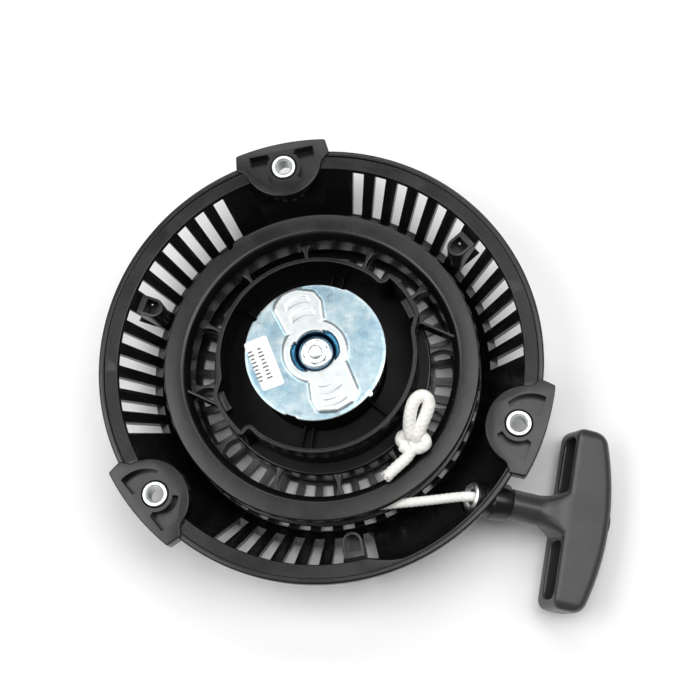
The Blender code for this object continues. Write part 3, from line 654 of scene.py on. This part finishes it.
def cut_openings(case):
    """Wall slots, floor slots, ear holes and recesses, post hollows and the spring's slot."""
    cuts = Shape()
    slot = [(wall_radius(SLOT_LOW_Z) - 3.0, SLOT_LOW_Z), (97.0, SLOT_LOW_Z), (97.0, FLANGE_UNDER - 0.3),
            (wall_radius(SLOT_HIGH_Z) + 1.0, SLOT_HIGH_Z), (wall_radius(SLOT_HIGH_Z) - 3.0, SLOT_HIGH_Z)]
    for angle in slot_angles():
        cuts.lathe(slot, 2, None, angle - SLOT_WIDTH / 2, SLOT_WIDTH)
    for count, inner, outer, width in ((40, 51.4, 59.2, 5.2), (44, 67.0, 72.4, 4.4)):
        for i in range(count):
            half = width / 2
            corners = [(*polar(inner, -half), 0.5), (*polar(outer, -half), 0.5),
                       (*polar(outer, half), 0.5), (*polar(inner, half), 0.5)]
            cuts.slab(rounded(corners, 2), -1.0, FLOOR_T + 1.0, place=turn(360.0 * i / count))
    for angle in EAR_ANGLES:
        place = turn(angle) @ shifted(EAR_PCD_R, 0, 0)
        wide, mouth = BUSH_R + GAP, 6.4
        hole = [(0, EAR_UNDER - 5), (wide, EAR_UNDER - 5), (wide, EAR_TOP - 0.7), (mouth, EAR_TOP + 0.1),
                (mouth, EAR_TOP + 1), (0, EAR_TOP + 1)]
        cuts.lathe(hole, 48, place)
        for side in (1, -1):
            cuts.slab(crescent_outline(side), EAR_TOP - EAR_RECESS, EAR_TOP + 1, place=place)
    for angle in POST_ANGLES:
        hollow = [(86.4, -WALL_POST_HOLLOW_R), (86.4, WALL_POST_HOLLOW_R)]
        hollow += arc(WALL_POST_HOLLOW_R, 90.0, 270.0, 14, centre=(WALL_POST_MID, 0.0))
        cuts.slab(hollow, 22.0, 33.0, place=turn(angle))
        # Ejector marks on the ledge.
        for offset in (-20.5, 20.5):
            x, y = polar((LEDGE_IN_R + LEDGE_OUT_R) / 2, angle + offset)
            mark = [(0, LEDGE_Z - 0.25), (1.7, LEDGE_Z - 0.25), (1.7, LEDGE_Z + 1), (0, LEDGE_Z + 1)]
            cuts.lathe(mark, 20, shifted(x, y, 0))
    cuts.slab([(4.5, -0.9), (POST_R + 1, -0.9), (POST_R + 1, 0.9), (4.5, 0.9)], 6.4, 19.0, place=turn(200.0))
    combine(case, bake("case_cuts", cuts), "DIFFERENCE")


def starter_case():
    case = case_shell()
    add_outlet_bulge(case)
    add_ears_and_posts(case)
    add_outlet_boss(case)
    cut_openings(case)
    soften(case, 0.25, 50.0, 1)
    dress(case, CASE, "case", ["starter_case"], 42.0)


def ear_bushes():
    for letter, angle in zip("abc", EAR_ANGLES):
        place = turn(angle) @ shifted(EAR_PCD_R, 0, 0)
        profile = rounded([
            (BUSH_HOLE_R, EAR_UNDER - 0.4, 0.3), (BUSH_R, EAR_UNDER - 0.4, 0.3), (BUSH_R, BUSH_TOP, 0.35),
            (4.2, BUSH_TOP, 0.25), (BUSH_HOLE_R, BUSH_TOP - 1.0, 0.3),
        ])
        bush = bake("bush_" + letter, Shape().lathe(profile, 64, place))
        dress(bush, BRIGHT, "case", ["ear_bush_" + letter])


def rope_eyelet():
    profile = rounded([
        (EYELET_BORE_R, EYELET_LEN), (EYELET_BORE_R, 0.9, 0.6), (EYELET_BORE_R + 0.9, -0.5, 0.5),
        (EYELET_R - 0.8, -0.6, 0.5), (EYELET_R, 0.3, 0.4), (EYELET_R, 1.1, 0.2), (EYELET_BARREL_R, 1.15),
        (EYELET_BARREL_R, EYELET_LEN),
    ])
    ring = bake("eyelet_ring", Shape().lathe(profile, 72, axis_frame(EYELET_AT, EYELET_TILT)))
    dress(ring, BRIGHT, "case", ["rope_eyelet"])


# ---------------------------------------------------------------- reel


def cup_outline():
    """The cup's outer line: a circle with two pockets half a turn apart, each with a hooked step."""
    points = []
    for base in (0.0, 180.0):
        points += [(*polar(CUP_R + 0.2, base + 20.5), 6.0), (*polar(POCKET_R - 0.4, base + 28.6), 4.0)]
        points += arc(POCKET_R, base + 32.0, base + 51.5, 12)
        points += [(*polar(POCKET_R, base + 56.4), 2.6), (*polar(CUP_R - 0.6, base + 56.0), 1.4)]
        points += arc(CUP_R, base + 62.0, base + 198.0, 70)
    return rounded(points, 6)


def reel_rim():
    """The top flange, the groove and the drum wall, with the rope catch's notch."""
    rim = rounded([
        (DRUM_IN_R, RIM_LOW_Z, 0.4), (RIM_R, RIM_LOW_Z, 0.9), (RIM_R, GROOVE_LOW_Z - 0.6, 0.6),
        (DRUM_OUT_R, GROOVE_LOW_Z, 1.0), (DRUM_OUT_R, GROOVE_HIGH_Z, 1.0), (RIM_R, GROOVE_HIGH_Z + 0.4, 0.8),
        (RIM_R, RIM_TOP_Z, 1.5), (DRUM_IN_R + 2.4, RIM_TOP_Z - 0.2, 3.2), (DRUM_IN_R, RIM_TOP_Z - 4.0, 1.5),
    ], 6)
    flange = bake("reel_rim", Shape().lathe(rim, 180))
    catch = rounded([
        (74.0, -5.4), (74.0, 5.4), (71.2, 4.6, 1.0), (70.0, 2.2, 1.4), (69.4, -3.0, 1.4), (71.6, -4.8, 0.8),
    ])
    notch = Shape().slab(catch, GROOVE_HIGH_Z - 0.8, RIM_TOP_Z + 1.0, place=turn(136.5))
    combine(flange, bake("rim_catch", notch), "DIFFERENCE")
    dress(flange, REEL, "reel", ["reel"], 42.0)


def add_cup(shape):
    outline = cup_outline()
    line, out = np.array(outline), outline_normals(outline)
    lip, dip = 0.55, 0.35
    section = rounded([
        (0.0, DECK_Z - 0.6), (0.0, CUP_TOP, 0.3), (lip, CUP_TOP, 0.15), (lip + 0.1, CUP_TOP - dip),
        (CUP_WALL - lip - 0.1, CUP_TOP - dip), (CUP_WALL - lip, CUP_TOP, 0.15), (CUP_WALL, CUP_TOP, 0.3),
        (CUP_WALL, DECK_Z - 0.6),
    ], 3)
    rows = [[(*(p - n * inset), z) for inset, z in section] for p, n in zip(line, out)]
    shape.rows(rows, wrap_rows=True)


def rib_outline():
    """A rib between the spring wall and the drum, waisted a little before its middle."""
    inner, outer, waist = SPRING_WALL_R - 0.8, DRUM_IN_R + 1.0, 0.45
    side = []
    for k in range(13):
        share = k / 12
        if share < waist:
            flare = 1.5 * (1 - share / waist) ** 2
        else:
            flare = 2.7 * ((share - waist) / (1 - waist)) ** 2
        side.append((inner + (outer - inner) * share, 0.8 + flare))
    return [(x, -y) for x, y in side] + side[::-1]


def add_ribs(shape):
    for i in range(RIB_COUNT):
        place = turn(RIB_FIRST + 360.0 / RIB_COUNT * i)
        shape.slab(rib_outline(), RIM_LOW_Z + 0.6, 21.0, 0.3, 0.0, place)
    for half_turn in (0.0, 180.0):
        ends = [Vector(polar(POCKET_R - 0.6, 30.5)), Vector(polar(DRUM_IN_R + 1.4, 18.4))]
        side = (ends[1] - ends[0]).orthogonal().normalized() * 0.65
        outline = [ends[0] + side, ends[1] + side, ends[1] - side, ends[0] - side]
        shape.slab([tuple(point) for point in outline], 20.3, 28.6, 0.25, 0.0, turn(half_turn))
        ledge = arc(CUP_R - 0.6, 28.5, 40.0, 6) + arc(POCKET_R - 1.0, 40.0, 28.5, 6)
        shape.slab(ledge, 38.0, 44.0, 0.3, 0.0, turn(half_turn))
        # Ribs on the deck between the boss and the cup's wall.
        for angle in (84.0, 91.0, 150.0):
            near, far = BOSS_TOP_R - 1.0, CUP_R - 1.0
            outline = [(near, -0.6), (far, -0.6), (far, 0.6), (near, 0.6)]
            shape.slab(outline, DECK_Z - 0.5, 25.0, 0.2, 0.0, turn(half_turn + angle))


def reel():
    reel_rim()
    base = rounded([
        (REEL_BORE_R, DECK_LOW_Z), (12.0, DECK_LOW_Z), (12.0, BOSS_TOP_Z - 3.5),
        (BOSS_TOP_R - 2.6, BOSS_TOP_Z - 3.5), (BOSS_TOP_R - 2.6, DECK_LOW_Z),
        (SPRING_POCKET_R, DECK_LOW_Z), (SPRING_POCKET_R, REEL_LOW_Z, 0.3),
        (SPRING_WALL_R, REEL_LOW_Z, 0.5), (SPRING_WALL_R, DECK_Z, 1.0), (BOSS_TOP_R, DECK_Z, 1.4),
        (BOSS_TOP_R, BOSS_TOP_Z, 1.0), (REEL_BORE_R, BOSS_TOP_Z, 0.5),
    ])
    shape = Shape().lathe(base, 144)
    add_cup(shape)
    add_ribs(shape)
    body = bake("reel_body", shape)
    dress(body, REEL, "reel", ["reel"], 42.0)
    # Faces low inside the cup take the darker copy: painted shade on the deck, the feet of its ribs and the
    # boss.
    body.data.materials.append(DECK_SHADE)
    for face in body.data.polygons:
        centre = face.center / MM
        if centre.z < DECK_Z + 3.5 and math.hypot(centre.x, centre.y) < CUP_R:
            face.material_index = 1


# ---------------------------------------------------------------- rope


def braid(name, path, radius, around=28, step=0.42):
    """A braided cord: a tube whose skin rises and falls where the strands cross."""
    route = smooth_path([tuple(p) for p in path], step)
    rows, ahead = [], (route[1] - route[0]).normalized()
    side = ahead.orthogonal().normalized()
    travelled = 0.0
    for i, point in enumerate(route):
        after, before = route[min(i + 1, len(route) - 1)], route[max(i - 1, 0)]
        ahead = (after - before).normalized()
        side = (side - ahead * side.dot(ahead)).normalized()
        up = ahead.cross(side)
        if i:
            travelled += (point - route[i - 1]).length
        ring = []
        for k in range(around):
            angle = 2 * math.pi * k / around
            twist = travelled * 2 * math.pi / 9.5
            left, right = math.cos(4 * (angle + twist)), math.cos(4 * (angle - twist))
            height = max(left, right) * 0.5 + 0.5 * max(0.0, left * right)
            bulk = radius * (0.90 + 0.10 * height)
            ring.append(point + (side * math.cos(angle) + up * math.sin(angle)) * bulk)
        rows.append(ring)
    first, last = rows[0], rows[-1]
    start, stop = route[0], route[-1]
    rows.insert(0, [start + (p - start) * 0.55 for p in first])
    rows.append([stop + (p - stop) * 0.55 for p in last])
    return bake(name, Shape().rows(rows, caps=True))


def hoop(centre, out, up, radius, count):
    """Points on a small circle spanned by the directions out and up."""
    angles = [2 * math.pi * k / count for k in range(count)]
    return [centre + (out * math.cos(a) + up * math.sin(a)) * radius for a in angles]


def frayed_end(name, at, ahead, radius, count=46):
    """Loose strands at a cut end."""
    shape = Shape()
    side = ahead.orthogonal().normalized()
    up = ahead.cross(side)
    for _ in range(count):
        angle, out = random.uniform(0, 2 * math.pi), random.uniform(0.1, 0.92) ** 0.5
        root = at + (side * math.cos(angle) + up * math.sin(angle)) * radius * out
        flare = (side * math.cos(angle) + up * math.sin(angle)) * random.uniform(0.1, 0.5)
        tip = root + ahead * random.uniform(0.5, 1.7) + flare
        rows = []
        for share in (0.0, 0.5, 1.0):
            centre = root - ahead * 0.5 + (tip - root + ahead * 0.5) * share
            rows.append(hoop(centre, side, up, 0.24 * (1.0 - 0.35 * share), 5))
        shape.rows(rows, caps=True)
    return bake(name, shape)


def rope_turns():
    """Turns in the groove: the upper one goes all the way round, the lower one ends at the free rope."""
    shape = Shape()
    for z, first, last in ((HIGH_TURN_Z, 0.0, 358.0), (LOW_TURN_Z, -430.0, -114.0)):
        rows = []
        for k in range(int((last - first) / 2) + 1):
            angle = first + 2.0 * k
            centre = Vector((*polar(WINDING_R, angle), z))
            out = Vector((*polar(1.0, angle), 0.0))
            ring = []
            for i in range(16):
                a = i * math.pi / 8
                bulk = ROPE_R * (0.93 + 0.07 * math.cos(4 * (a + k * 1.1)) * math.cos(4 * (a - k * 1.1)))
                ring.append(centre + (out * math.cos(a) + UP * math.sin(a)) * bulk)
            rows.append(ring)
        shape.rows(rows, wrap_rows=z == HIGH_TURN_Z, caps=z == LOW_TURN_Z)
    dress(bake("rope_turns", shape), ROPE, "reel", ["rope_wound"], 80.0)


def rope_run():
    """The free rope: off the lower turn, through the eyelet and up the boss."""
    route = [(*polar(WINDING_R, angle), LOW_TURN_Z) for angle in (-112.0, -101.0, -90.0, -79.5)]
    route += [(32.0, -60.3, 22.6), (52.0, -56.6, 26.6)]
    route += [tuple(EYELET_AT - along(EYELET_TILT) * 2.5 + Vector((0, -0.4, -0.2)))]
    route += [tuple(BOSS_END - PULL * t) for t in (12.0, 8.0)]
    dress(braid("rope_run", route, ROPE_R), ROPE, "case", ["rope_span"], 80.0)


def rope_pull():
    """The rope from the boss into the grip."""
    route = [BOSS_END - PULL * t for t in (8.6, 2.0, -6.0, -16.0, -24.0)]
    pull = braid("rope_pull", route, ROPE_R * 0.98, step=0.25)
    pull.data.materials.append(ROPE)
    pull.data.shade_smooth()
    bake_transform(pull)
    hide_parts("handle_rope")


def rope_knot():
    """The knot of the inner end: a loop, a turn round it, and a cut tail."""
    loop = [
        (46.2, -30.2, 35.0), (45.2, -29.6, 38.0), (44.4, -26.2, 40.6), (44.4, -21.6, 43.6),
        (45.2, -17.0, 45.0), (47.4, -14.0, 45.4), (50.2, -13.7, 45.0), (51.9, -16.2, 44.2),
        (51.4, -20.0, 42.8), (50.0, -24.4, 41.0), (48.6, -29.0, 38.6), (47.4, -32.0, 35.2),
    ]
    knot = braid("knot_loop", loop, 3.0)
    wrap = []
    for k in range(19):
        angle = math.radians(-150.0 + 400.0 * k / 18)
        wrap.append((46.6 + 5.6 * math.cos(angle), -31.8 + 2.7 * math.sin(angle) + 0.10 * k - 0.9,
                     35.4 + 1.5 * math.sin(angle + 1.0)))
    turn_piece = braid("knot_turn", wrap, 2.85)
    tail = [
        (47.6, -31.0, 36.0), (46.4, -35.4, 35.0), (44.6, -39.2, 33.9), (41.0, -43.4, 33.4),
        (36.9, -48.3, 33.0),
    ]
    end = braid("knot_tail", tail, 2.7)
    tip = Vector(tail[-1])
    loose = frayed_end("knot_fray", tip, (tip - Vector(tail[-2])).normalized(), 2.3)
    for piece in (knot, turn_piece, end, loose):
        dress(piece, ROPE, "reel", ["reel_knot"], 80.0)


# ---------------------------------------------------------------- ratchet gear


def blunt(corners):
    """The outline with its corners rounded off, as pressed sheet has them."""
    return rounded([(*corner, 1.8) for corner in corners], 3)


def side_of(points, x, y):
    """Signed distance from (x, y) to a convex anticlockwise outline, positive inside."""
    best = 1e9
    for (ax, ay), (bx, by) in zip(points, points[1:] + points[:1]):
        ex, ey = bx - ax, by - ay
        best = min(best, (ex * (y - ay) - ey * (x - ax)) / math.hypot(ex, ey))
    return best


def ease(value, low, high):
    share = min(1.0, max(0.0, (value - low) / (high - low)))
    return share * share * (3 - 2 * share)


# Corners of the two raised lobes, as radius and angle
LOBE_CORNERS = (
    ((14.0, 81.2), (23.3, 91.0), (27.5, 99.4), (30.0, 115.0), (30.4, 127.0), (28.4, 137.0), (26.6, 142.0),
     (14.2, 157.5)),
    ((13.0, -94.6), (22.2, -86.2), (27.4, -79.0), (28.9, -62.0), (28.6, -46.0), (26.4, -36.5), (25.4, -34.5),
     (13.8, -7.5)),
)
LOBES = [blunt([polar(*corner) for corner in corners]) for corners in LOBE_CORNERS]
LOBE_RISE, LOBE_MIDDLES = 0.75, (118.0, -60.0)


def guide_height(x, y):
    """How far the plate's face stands above its flat."""
    radius = math.hypot(x, y)
    angle = math.degrees(math.atan2(y, x))
    inside = max(side_of(lobe, x, y) for lobe in LOBES)
    height = LOBE_RISE * max(ease(inside, -1.1, 1.1), ease(14.2 - radius, -1.1, 1.1))
    for middle in LOBE_MIDDLES:
        across = abs((angle - middle + 180.0) % 360.0 - 180.0) * radius * math.pi / 180.0
        ridge = ease(5.4 - across, -0.6, 0.6)
        bend = radius + across * across * 0.02
        height -= 0.26 * ridge * (ease(bend, 16.4, 17.2) - ease(bend, 19.6, 20.4))
        height -= 0.26 * ridge * (ease(bend, 22.6, 23.4) - ease(bend, 25.4, 26.2))
    return height


def plate_edge(angle):
    """The plate's radius, with the steps that its rim shows."""
    angle = angle % 360.0
    radius = PLATE_R - 0.6 * ease(angle, 72.0, 74.0) * (1 - ease(angle, 149.0, 151.0))
    radius += 1.2 * (ease(angle, 326.0, 327.0) - ease(angle, 330.0, 331.0))
    radius -= 0.9 * (ease(angle, 150.5, 151.2) - ease(angle, 159.0, 161.0))
    radius -= 0.7 * (ease(angle, 253.5, 254.2) - ease(angle, 262.0, 264.0))
    return radius


def plate_column(angle, ring_radii):
    """The plate's section at an angle: underside, edge, face, rim of the well and its floor."""
    top, low = PLATE_TOP, PLATE_TOP - PLATE_T
    edge = plate_edge(angle)
    # Two shallow crescents open out of the well, half a turn apart.
    notch = 1.3 * max(ease(math.cos(math.radians(angle - 30.0)), 0.55, 0.9),
                      ease(math.cos(math.radians(angle - 210.0)), 0.55, 0.9))
    column = [
        (STUD_R + 0.35, WELL_Z - PLATE_T), (WELL_R + 0.6, WELL_Z - PLATE_T), (WELL_R + 1.6, low - 1.0),
        (WELL_R + 3.4, low), (edge - 0.4, low), (edge, low + 0.4), (edge, top - 0.35),
        (edge - 0.12, top - 0.1), (edge - 0.4, top),
    ]
    for radius in reversed(ring_radii):
        dip = 2.4 * ease(WELL_R + 0.4 + notch - radius, -0.25, 0.25) if notch > 0.1 else 0.0
        column.append((radius, top + guide_height(*polar(radius, angle)) - dip))
    rim = top + LOBE_RISE - (2.4 if notch > 0.6 else 0.0)
    column += [
        (WELL_R + 0.45, rim - 0.05), (WELL_R + 0.12, rim - 0.35), (WELL_R, rim - 0.9),
        (WELL_R - 0.3, WELL_Z + 0.5), (WELL_R - 0.8, WELL_Z), (STUD_R + 0.35, WELL_Z),
    ]
    return column


def guide_plate():
    top = PLATE_TOP
    spokes = 400
    ring_radii = list(np.arange(WELL_R + 0.9, PLATE_R - 1.6, 0.32))
    rows = []
    for i in range(spokes):
        angle = 360.0 * i / spokes
        column = plate_column(angle, ring_radii)
        rows.append([(*polar(r, angle), z) for r, z in column])
    plate = bake("guide_plate", Shape().rows(rows, wrap_rows=True))
    dress(plate, PLATE, "guide", ["ratchet_guide"], 50.0)
    plate.data.materials.append(PLATE_HIGHLIGHT)
    plate.data.materials.append(WELL_SHADE)
    for face in plate.data.polygons:
        centre = face.center / MM
        radius = math.hypot(centre.x, centre.y)
        # Raised lobes and the rounded rim take the lighter zinc: painted highlight.
        if centre.z > top + 0.3 or (radius > PLATE_R - 1.0 and centre.z > top - 0.45):
            face.material_index = 1
        # The well, its crescents and the underside round it take the dark blue: painted shade.
        if radius < WELL_R + 3.0 and centre.z < top - 0.15:
            face.material_index = 2


def guide_legs():
    legs = Shape()
    for angle in (-29.0, 151.0):
        outline = arc(29.3, angle - 5.0, angle + 5.0, 6) + arc(30.9, angle + 5.0, angle - 5.0, 6)
        legs.slab(outline, 40.6, PLATE_TOP - PLATE_T + 0.2, 0.0, 0.3)
    dress(bake("guide_legs", legs), PLATE, "guide", ["ratchet_guide"])


def guide_label():
    """The sticker, with two rows of plain dashes that say nothing."""
    top = PLATE_TOP
    corners = [(28.7, 225.9), (19.4, 235.4), (23.2, 167.8), (32.0, 180.7)]
    outline = rounded([(*polar(r, a), 1.2) for r, a in corners])
    label = bake("guide_sticker", Shape().slab(outline, top + 0.02, top + 0.16, 0.05))
    dress(label, PAPER, "guide", ["guide_label"])
    across = Vector(polar(*corners[2])) - Vector(polar(*corners[1]))
    across.normalize()
    inward = Vector((across.y, -across.x))
    origin = Vector(polar(24.8, 201.0))
    ticks = Shape()
    for row in (-2.2, 2.0):
        for k in range(9):
            middle = origin + across * ((k - 4) * 1.75) + inward * row
            length = (0.8, 1.3, 1.05)[(k + (row > 0)) % 3]
            a, b = inward * length, across * 0.34
            quad = [middle + a + b, middle + a - b, middle - a - b, middle - a + b]
            ticks.slab([tuple(point) for point in quad], top + 0.15, top + 0.18)
    dress(bake("sticker_ticks", ticks), INK, "guide")


def friction_spring():
    """Two turns of wire between the reel's boss and the guide."""
    rows = []
    for i in range(73):
        angle = 10.0 * i
        centre = Vector((*polar(12.0, angle), BOSS_TOP_Z + 1.6 + 4.4 * i / 72))
        rows.append(hoop(centre, Vector((*polar(1.0, angle), 0.0)), UP, 0.55, 10))
    wire = bake("drag_spring", Shape().rows(rows, caps=True))
    dress(wire, STEEL, "guide", ["friction_spring"], 60.0)


def centre_nut():
    """A flange nut: a round flange, and a hexagon whose corners are turned off at the top."""
    low = WELL_Z + 0.3
    wide = NUT_FLANGE_R + 0.3
    flange = rounded([(STUD_R + 0.1, low), (wide, low, 0.3), (wide, low + 4.2, 0.7), (6.2, low + 5.0, 0.8),
                      (STUD_R + 0.1, low + 5.0)])
    nut = bake("nut", Shape().lathe(flange, 72))
    rows = []
    corner = NUT_AF / math.sqrt(3)
    for z, share in ((low + 1.2, 1.0), (low + 5.6, 1.0), (low + 6.2, 0.96), (low + 6.6, 0.88)):
        ring = []
        for k in range(72):
            angle = math.radians(5.0 * k)
            flat = (NUT_AF / 2) / math.cos((angle + math.pi / 6) % (math.pi / 3) - math.pi / 6)
            ring.append((*polar(min(flat, corner * share), 5.0 * k), z))
        rows.append(ring)
    for radius, z in ((STUD_R + 0.6, low + 6.6), (STUD_R + 0.1, low + 6.3), (STUD_R + 0.1, low + 1.2)):
        rows.append([(*polar(radius, 5.0 * k), z) for k in range(72)])
    combine(nut, bake("nut_body", Shape().rows(rows, wrap_rows=True)), "UNION")
    dress(nut, BRIGHT, "case", ["centre_nut"])


def centre_stud():
    stud = rounded([
        (0, 27.5), (STUD_R, 27.5, 0.6), (STUD_R, STUD_TOP - 0.3, 0.9), (2.0, STUD_TOP, 1.5),
        (0, STUD_TOP + 0.1),
    ], closed=False)
    dress(bake("stud", Shape().lathe(stud, 48)), BRIGHT, "case", ["centre_stud"])


def post_insert():
    insert = rounded([(3.35, 27.0), (4.9, 27.0), (4.9, POST_TOP + 0.1, 0.3), (3.35, POST_TOP + 0.1, 0.2)])
    dress(bake("insert", Shape().lathe(insert, 48)), STEEL, "case", ["post_insert"])


def thrust_washer():
    washer = rounded([(3.4, POST_TOP + 0.5, 0.2), (10.2, POST_TOP + 0.5, 0.3), (10.2, POST_TOP + 1.6, 0.3),
                      (3.4, POST_TOP + 1.6, 0.2)])
    dress(bake("washer", Shape().lathe(washer, 64)), STEEL, "case", ["thrust_washer"])


def dog_outline():
    """A dog about its pivot, its nose pointing along +Y."""
    nose = [(5.9, 5.4, 3.0), (7.3, 11.5, 2.5), (7.0, 16.4, 0.6), (3.6, 17.0, 0.5), (0.6, 12.4, 3.0)]
    return rounded(arc(4.4, 150.0, 350.0, 22) + nose + [(-2.8, 6.0, 4.0)])


def return_spring(place):
    """Two and a half turns of wire round the pin, and a straight arm."""
    wire = 0.36
    rows = []
    for i in range(61):
        angle = 15.0 * i - 60.0
        centre = Vector((*polar(PIN_R + 0.85, angle), 44.5 + 1.3 * i / 60))
        rows.append([place @ p for p in hoop(centre, Vector((*polar(1.0, angle), 0.0)), UP, wire, 8)])
    coil = Shape().rows(rows, caps=True)
    arm = place @ turn(100.0) @ shifted(2.8, 0, 44.6) @ LYING
    return coil.lathe([(0, 0), (wire, 0), (wire, 7.0), (0, 7.0)], 10, arm)


def ratchets():
    for letter, angle in zip("ab", RATCHET_ANGLES):
        place = turn(angle) @ shifted(RATCHET_PIVOT_R, 0, 0)
        body = "ratchet_" + letter
        solid = Shape().slab(dog_outline(), RATCHET_LOW, RATCHET_LOW + RATCHET_T, 0.4, 0.3, place)
        dog = bake("dog_" + letter, solid)
        bore = Shape().lathe([(0, 37.0), (PIN_R + GAP, 37.0), (PIN_R + GAP, 45.0), (0, 45.0)], 32, place)
        combine(dog, bake("dog_bore", bore), "DIFFERENCE")
        dress(dog, STEEL, body, [body])
        profile = rounded([(0, 33.4), (PIN_R, 33.4, 0.3), (PIN_R, 47.0, 0.5), (0, 47.0)], closed=False)
        pin = bake("pin_" + letter, Shape().lathe(profile, 32, place))
        dress(pin, STEEL, "reel", ["ratchet_pin_" + letter])
        coil = bake("return_spring_" + letter, return_spring(place))
        dress(coil, STEEL, body, ["ratchet_spring_" + letter], 60.0)


def recoil_spring():
    """The flat spiral, in close turns against the pocket wall."""
    strip, close_turns, pitch, steps = 0.7, 5.0, 1.9, 60
    outer, inner = SPRING_POCKET_R - 0.9, POST_R + 0.8
    low, high = REEL_LOW_Z + 0.8, DECK_LOW_Z - 0.8
    rows = []
    for i in range(int((close_turns + 1.25) * steps) + 1):
        turns = i / steps
        radius = outer - pitch * turns
        if turns > close_turns:
            share = ease(turns, close_turns, close_turns + 1.25)
            radius += (inner - (outer - pitch * (close_turns + 1.25))) * share
        angle = 20.0 + 360.0 * turns
        corners = [(radius - strip / 2, low), (radius + strip / 2, low),
                   (radius + strip / 2, high), (radius - strip / 2, high)]
        rows.append([(*polar(r, angle), z) for r, z in corners])
    spring = bake("clock_spring", Shape().rows(rows, caps=True))
    dress(spring, STEEL, "case", ["recoil_spring"], 60.0)


# ---------------------------------------------------------------- handle


def bar_section(y):
    """(near, far) edge of the grip at y along the bar."""
    share = min(1.0, abs(y) / BAR_HALF)
    end = math.sqrt(max(0.0, 1.0 - max(0.0, (share - 0.88) / 0.12) ** 2))
    near, far = BAR_NEAR, BAR_FAR - BAR_BOW * share**2
    pinch = 3.4 * (1.0 - end)
    return near + pinch, far - pinch


def grip_bar():
    """The crossbar, skinned over sections along its length."""
    half = BAR_THICK / 2
    stations = [-1.0, -0.995, -0.985, -0.965, -0.94, -0.91, -0.88] + [k / 16 for k in range(-13, 14)]
    stations += [0.88, 0.91, 0.94, 0.965, 0.985, 0.995, 1.0]
    rows = []
    for share in stations:
        y = BAR_HALF * share
        near, far = bar_section(y)
        drop = max(0.0, (abs(share) - 0.90) / 0.10)
        flat = half - 2.6 * (1.0 - math.sqrt(max(0.0, 1.0 - drop * drop)))
        corners = [(near, -flat, 2.6), (far, -flat, 4.2), (far, flat, 4.2), (near + 0.8, flat, 1.4)]
        section = rounded(corners, 6)
        rows.append([Vector((x, y + BAR_MID_Y, z)) for x, z in section])
    return bake("grip", Shape().rows(rows, caps=True))


def grip_stem():
    radius, end = STEM_R - 0.4, BAR_NEAR - 5.0
    profile = rounded([(0, STEM_START), (radius, STEM_START, 0.6), (radius, end), (0, end)], closed=False)
    return bake("grip_stem", Shape().lathe(profile, 72, LYING))


def grip_web():
    """The stem spreads, and its top rises, until it runs flush into the bar's face."""
    radius, tallest = STEM_R - 0.4, BAR_THICK / 2 - 0.05
    rows = []
    for k in range(17):
        share = k / 16
        x = BAR_NEAR - 11.0 + 14.0 * share
        wide = radius + 8.0 * (1.0 - math.sqrt(1.0 - share**2))
        tall = radius + (tallest - radius) * ease(share, 0.1, 0.9)
        corner = 0.97 * STEM_R * (1.0 - share) + 2.2 * share
        corners = ((-wide, -tall), (wide, -tall), (wide, tall), (-wide, tall))
        rows.append([Vector((x, y, z)) for y, z in rounded([(*at, corner) for at in corners], 6)])
    return bake("grip_web", Shape().rows(rows, caps=True))


def grip_cores():
    """Cutters for the two recesses in the bar's near side."""
    half = BAR_THICK / 2
    foot, roof = -half + 6.6, half - 2.6
    across = Matrix(((0, 0, 1, 0), (1, 0, 0, 0), (0, 1, 0, 0), (0, 0, 0, 1)))
    cores = Shape()
    for side in (1, -1):
        low, high = sorted((BAR_MID_Y + 10.4 * side, BAR_MID_Y + 36.0 * side))
        outline = rounded([(low, foot, 3.6), (high, foot, 3.6), (high, roof, 3.6), (low, roof, 3.6)], 8)
        cores.slab(outline, BAR_NEAR - 3.0, BAR_NEAR + 13.5, 1.0, 0.0, across)
    return bake("grip_cores", cores)


def grip_bore():
    """Cutter for the rope's way through the stem and the knot's room behind it."""
    room, throat = 8.6, 3.2
    bore = [
        (0, -1.0), (4.2, -1.0), (throat, STEM_START + 1.6), (throat, KNOT_FLOOR), (room, KNOT_FLOOR),
        (room, BAR_FAR + 5.0), (0, BAR_FAR + 5.0),
    ]
    return bake("grip_bore", Shape().lathe(bore, 64, LYING))


def handle_grip():
    grip = grip_bar()
    combine(grip, grip_stem(), "UNION")
    combine(grip, grip_web(), "UNION")
    combine(grip, grip_cores(), "DIFFERENCE")
    combine(grip, grip_bore(), "DIFFERENCE")
    mould(grip, 0.42, 7)
    grip.matrix_world = place_metres(handle_frame())
    dress(grip, GRIP, "handle", ["handle_grip"], 70.0)


def handle_fittings():
    """The cap, the washer and the knot inside the grip."""
    place = place_metres(handle_frame())
    top, seat = BAR_FAR - 0.2, KNOT_FLOOR + 0.35
    cap = rounded([(0, top - 4.4), (8.3, top - 4.4), (8.3, top, 0.7), (0, top)], closed=False)
    washer = rounded([(2.6, seat, 0.2), (8.2, seat, 0.2), (8.2, seat + 0.95, 0.3), (2.6, seat + 0.95, 0.2)])
    for name, profile, material, node, slot in (
        ("grip_cap", cap, GRIP, "handle_cap", "handle"),
        ("rope_washer", washer, STEEL, "handle_washer", "steel"),
    ):
        made = bake(name, Shape().lathe(profile, 64, LYING))
        made.matrix_world = place
        dress(made, material, "handle", [node])
    coil = []
    for k in range(18):
        angle = k * 0.62
        coil.append((KNOT_FLOOR + 4.2 + 0.25 * k, 3.1 * math.cos(angle), 3.1 * math.sin(angle)))
    knot = braid("grip_knot", coil, 2.2)
    knot.matrix_world = place
    dress(knot, ROPE, "handle", ["handle_knot"], 80.0)


add_camera()
add_studio()
starter_case()
ear_bushes()
rope_eyelet()
reel()
rope_turns()
rope_run()
rope_pull()
rope_knot()
guide_plate()
guide_legs()
guide_label()
friction_spring()
centre_nut()
centre_stud()
post_insert()
thrust_washer()
ratchets()
recoil_spring()
handle_grip()
handle_fittings()
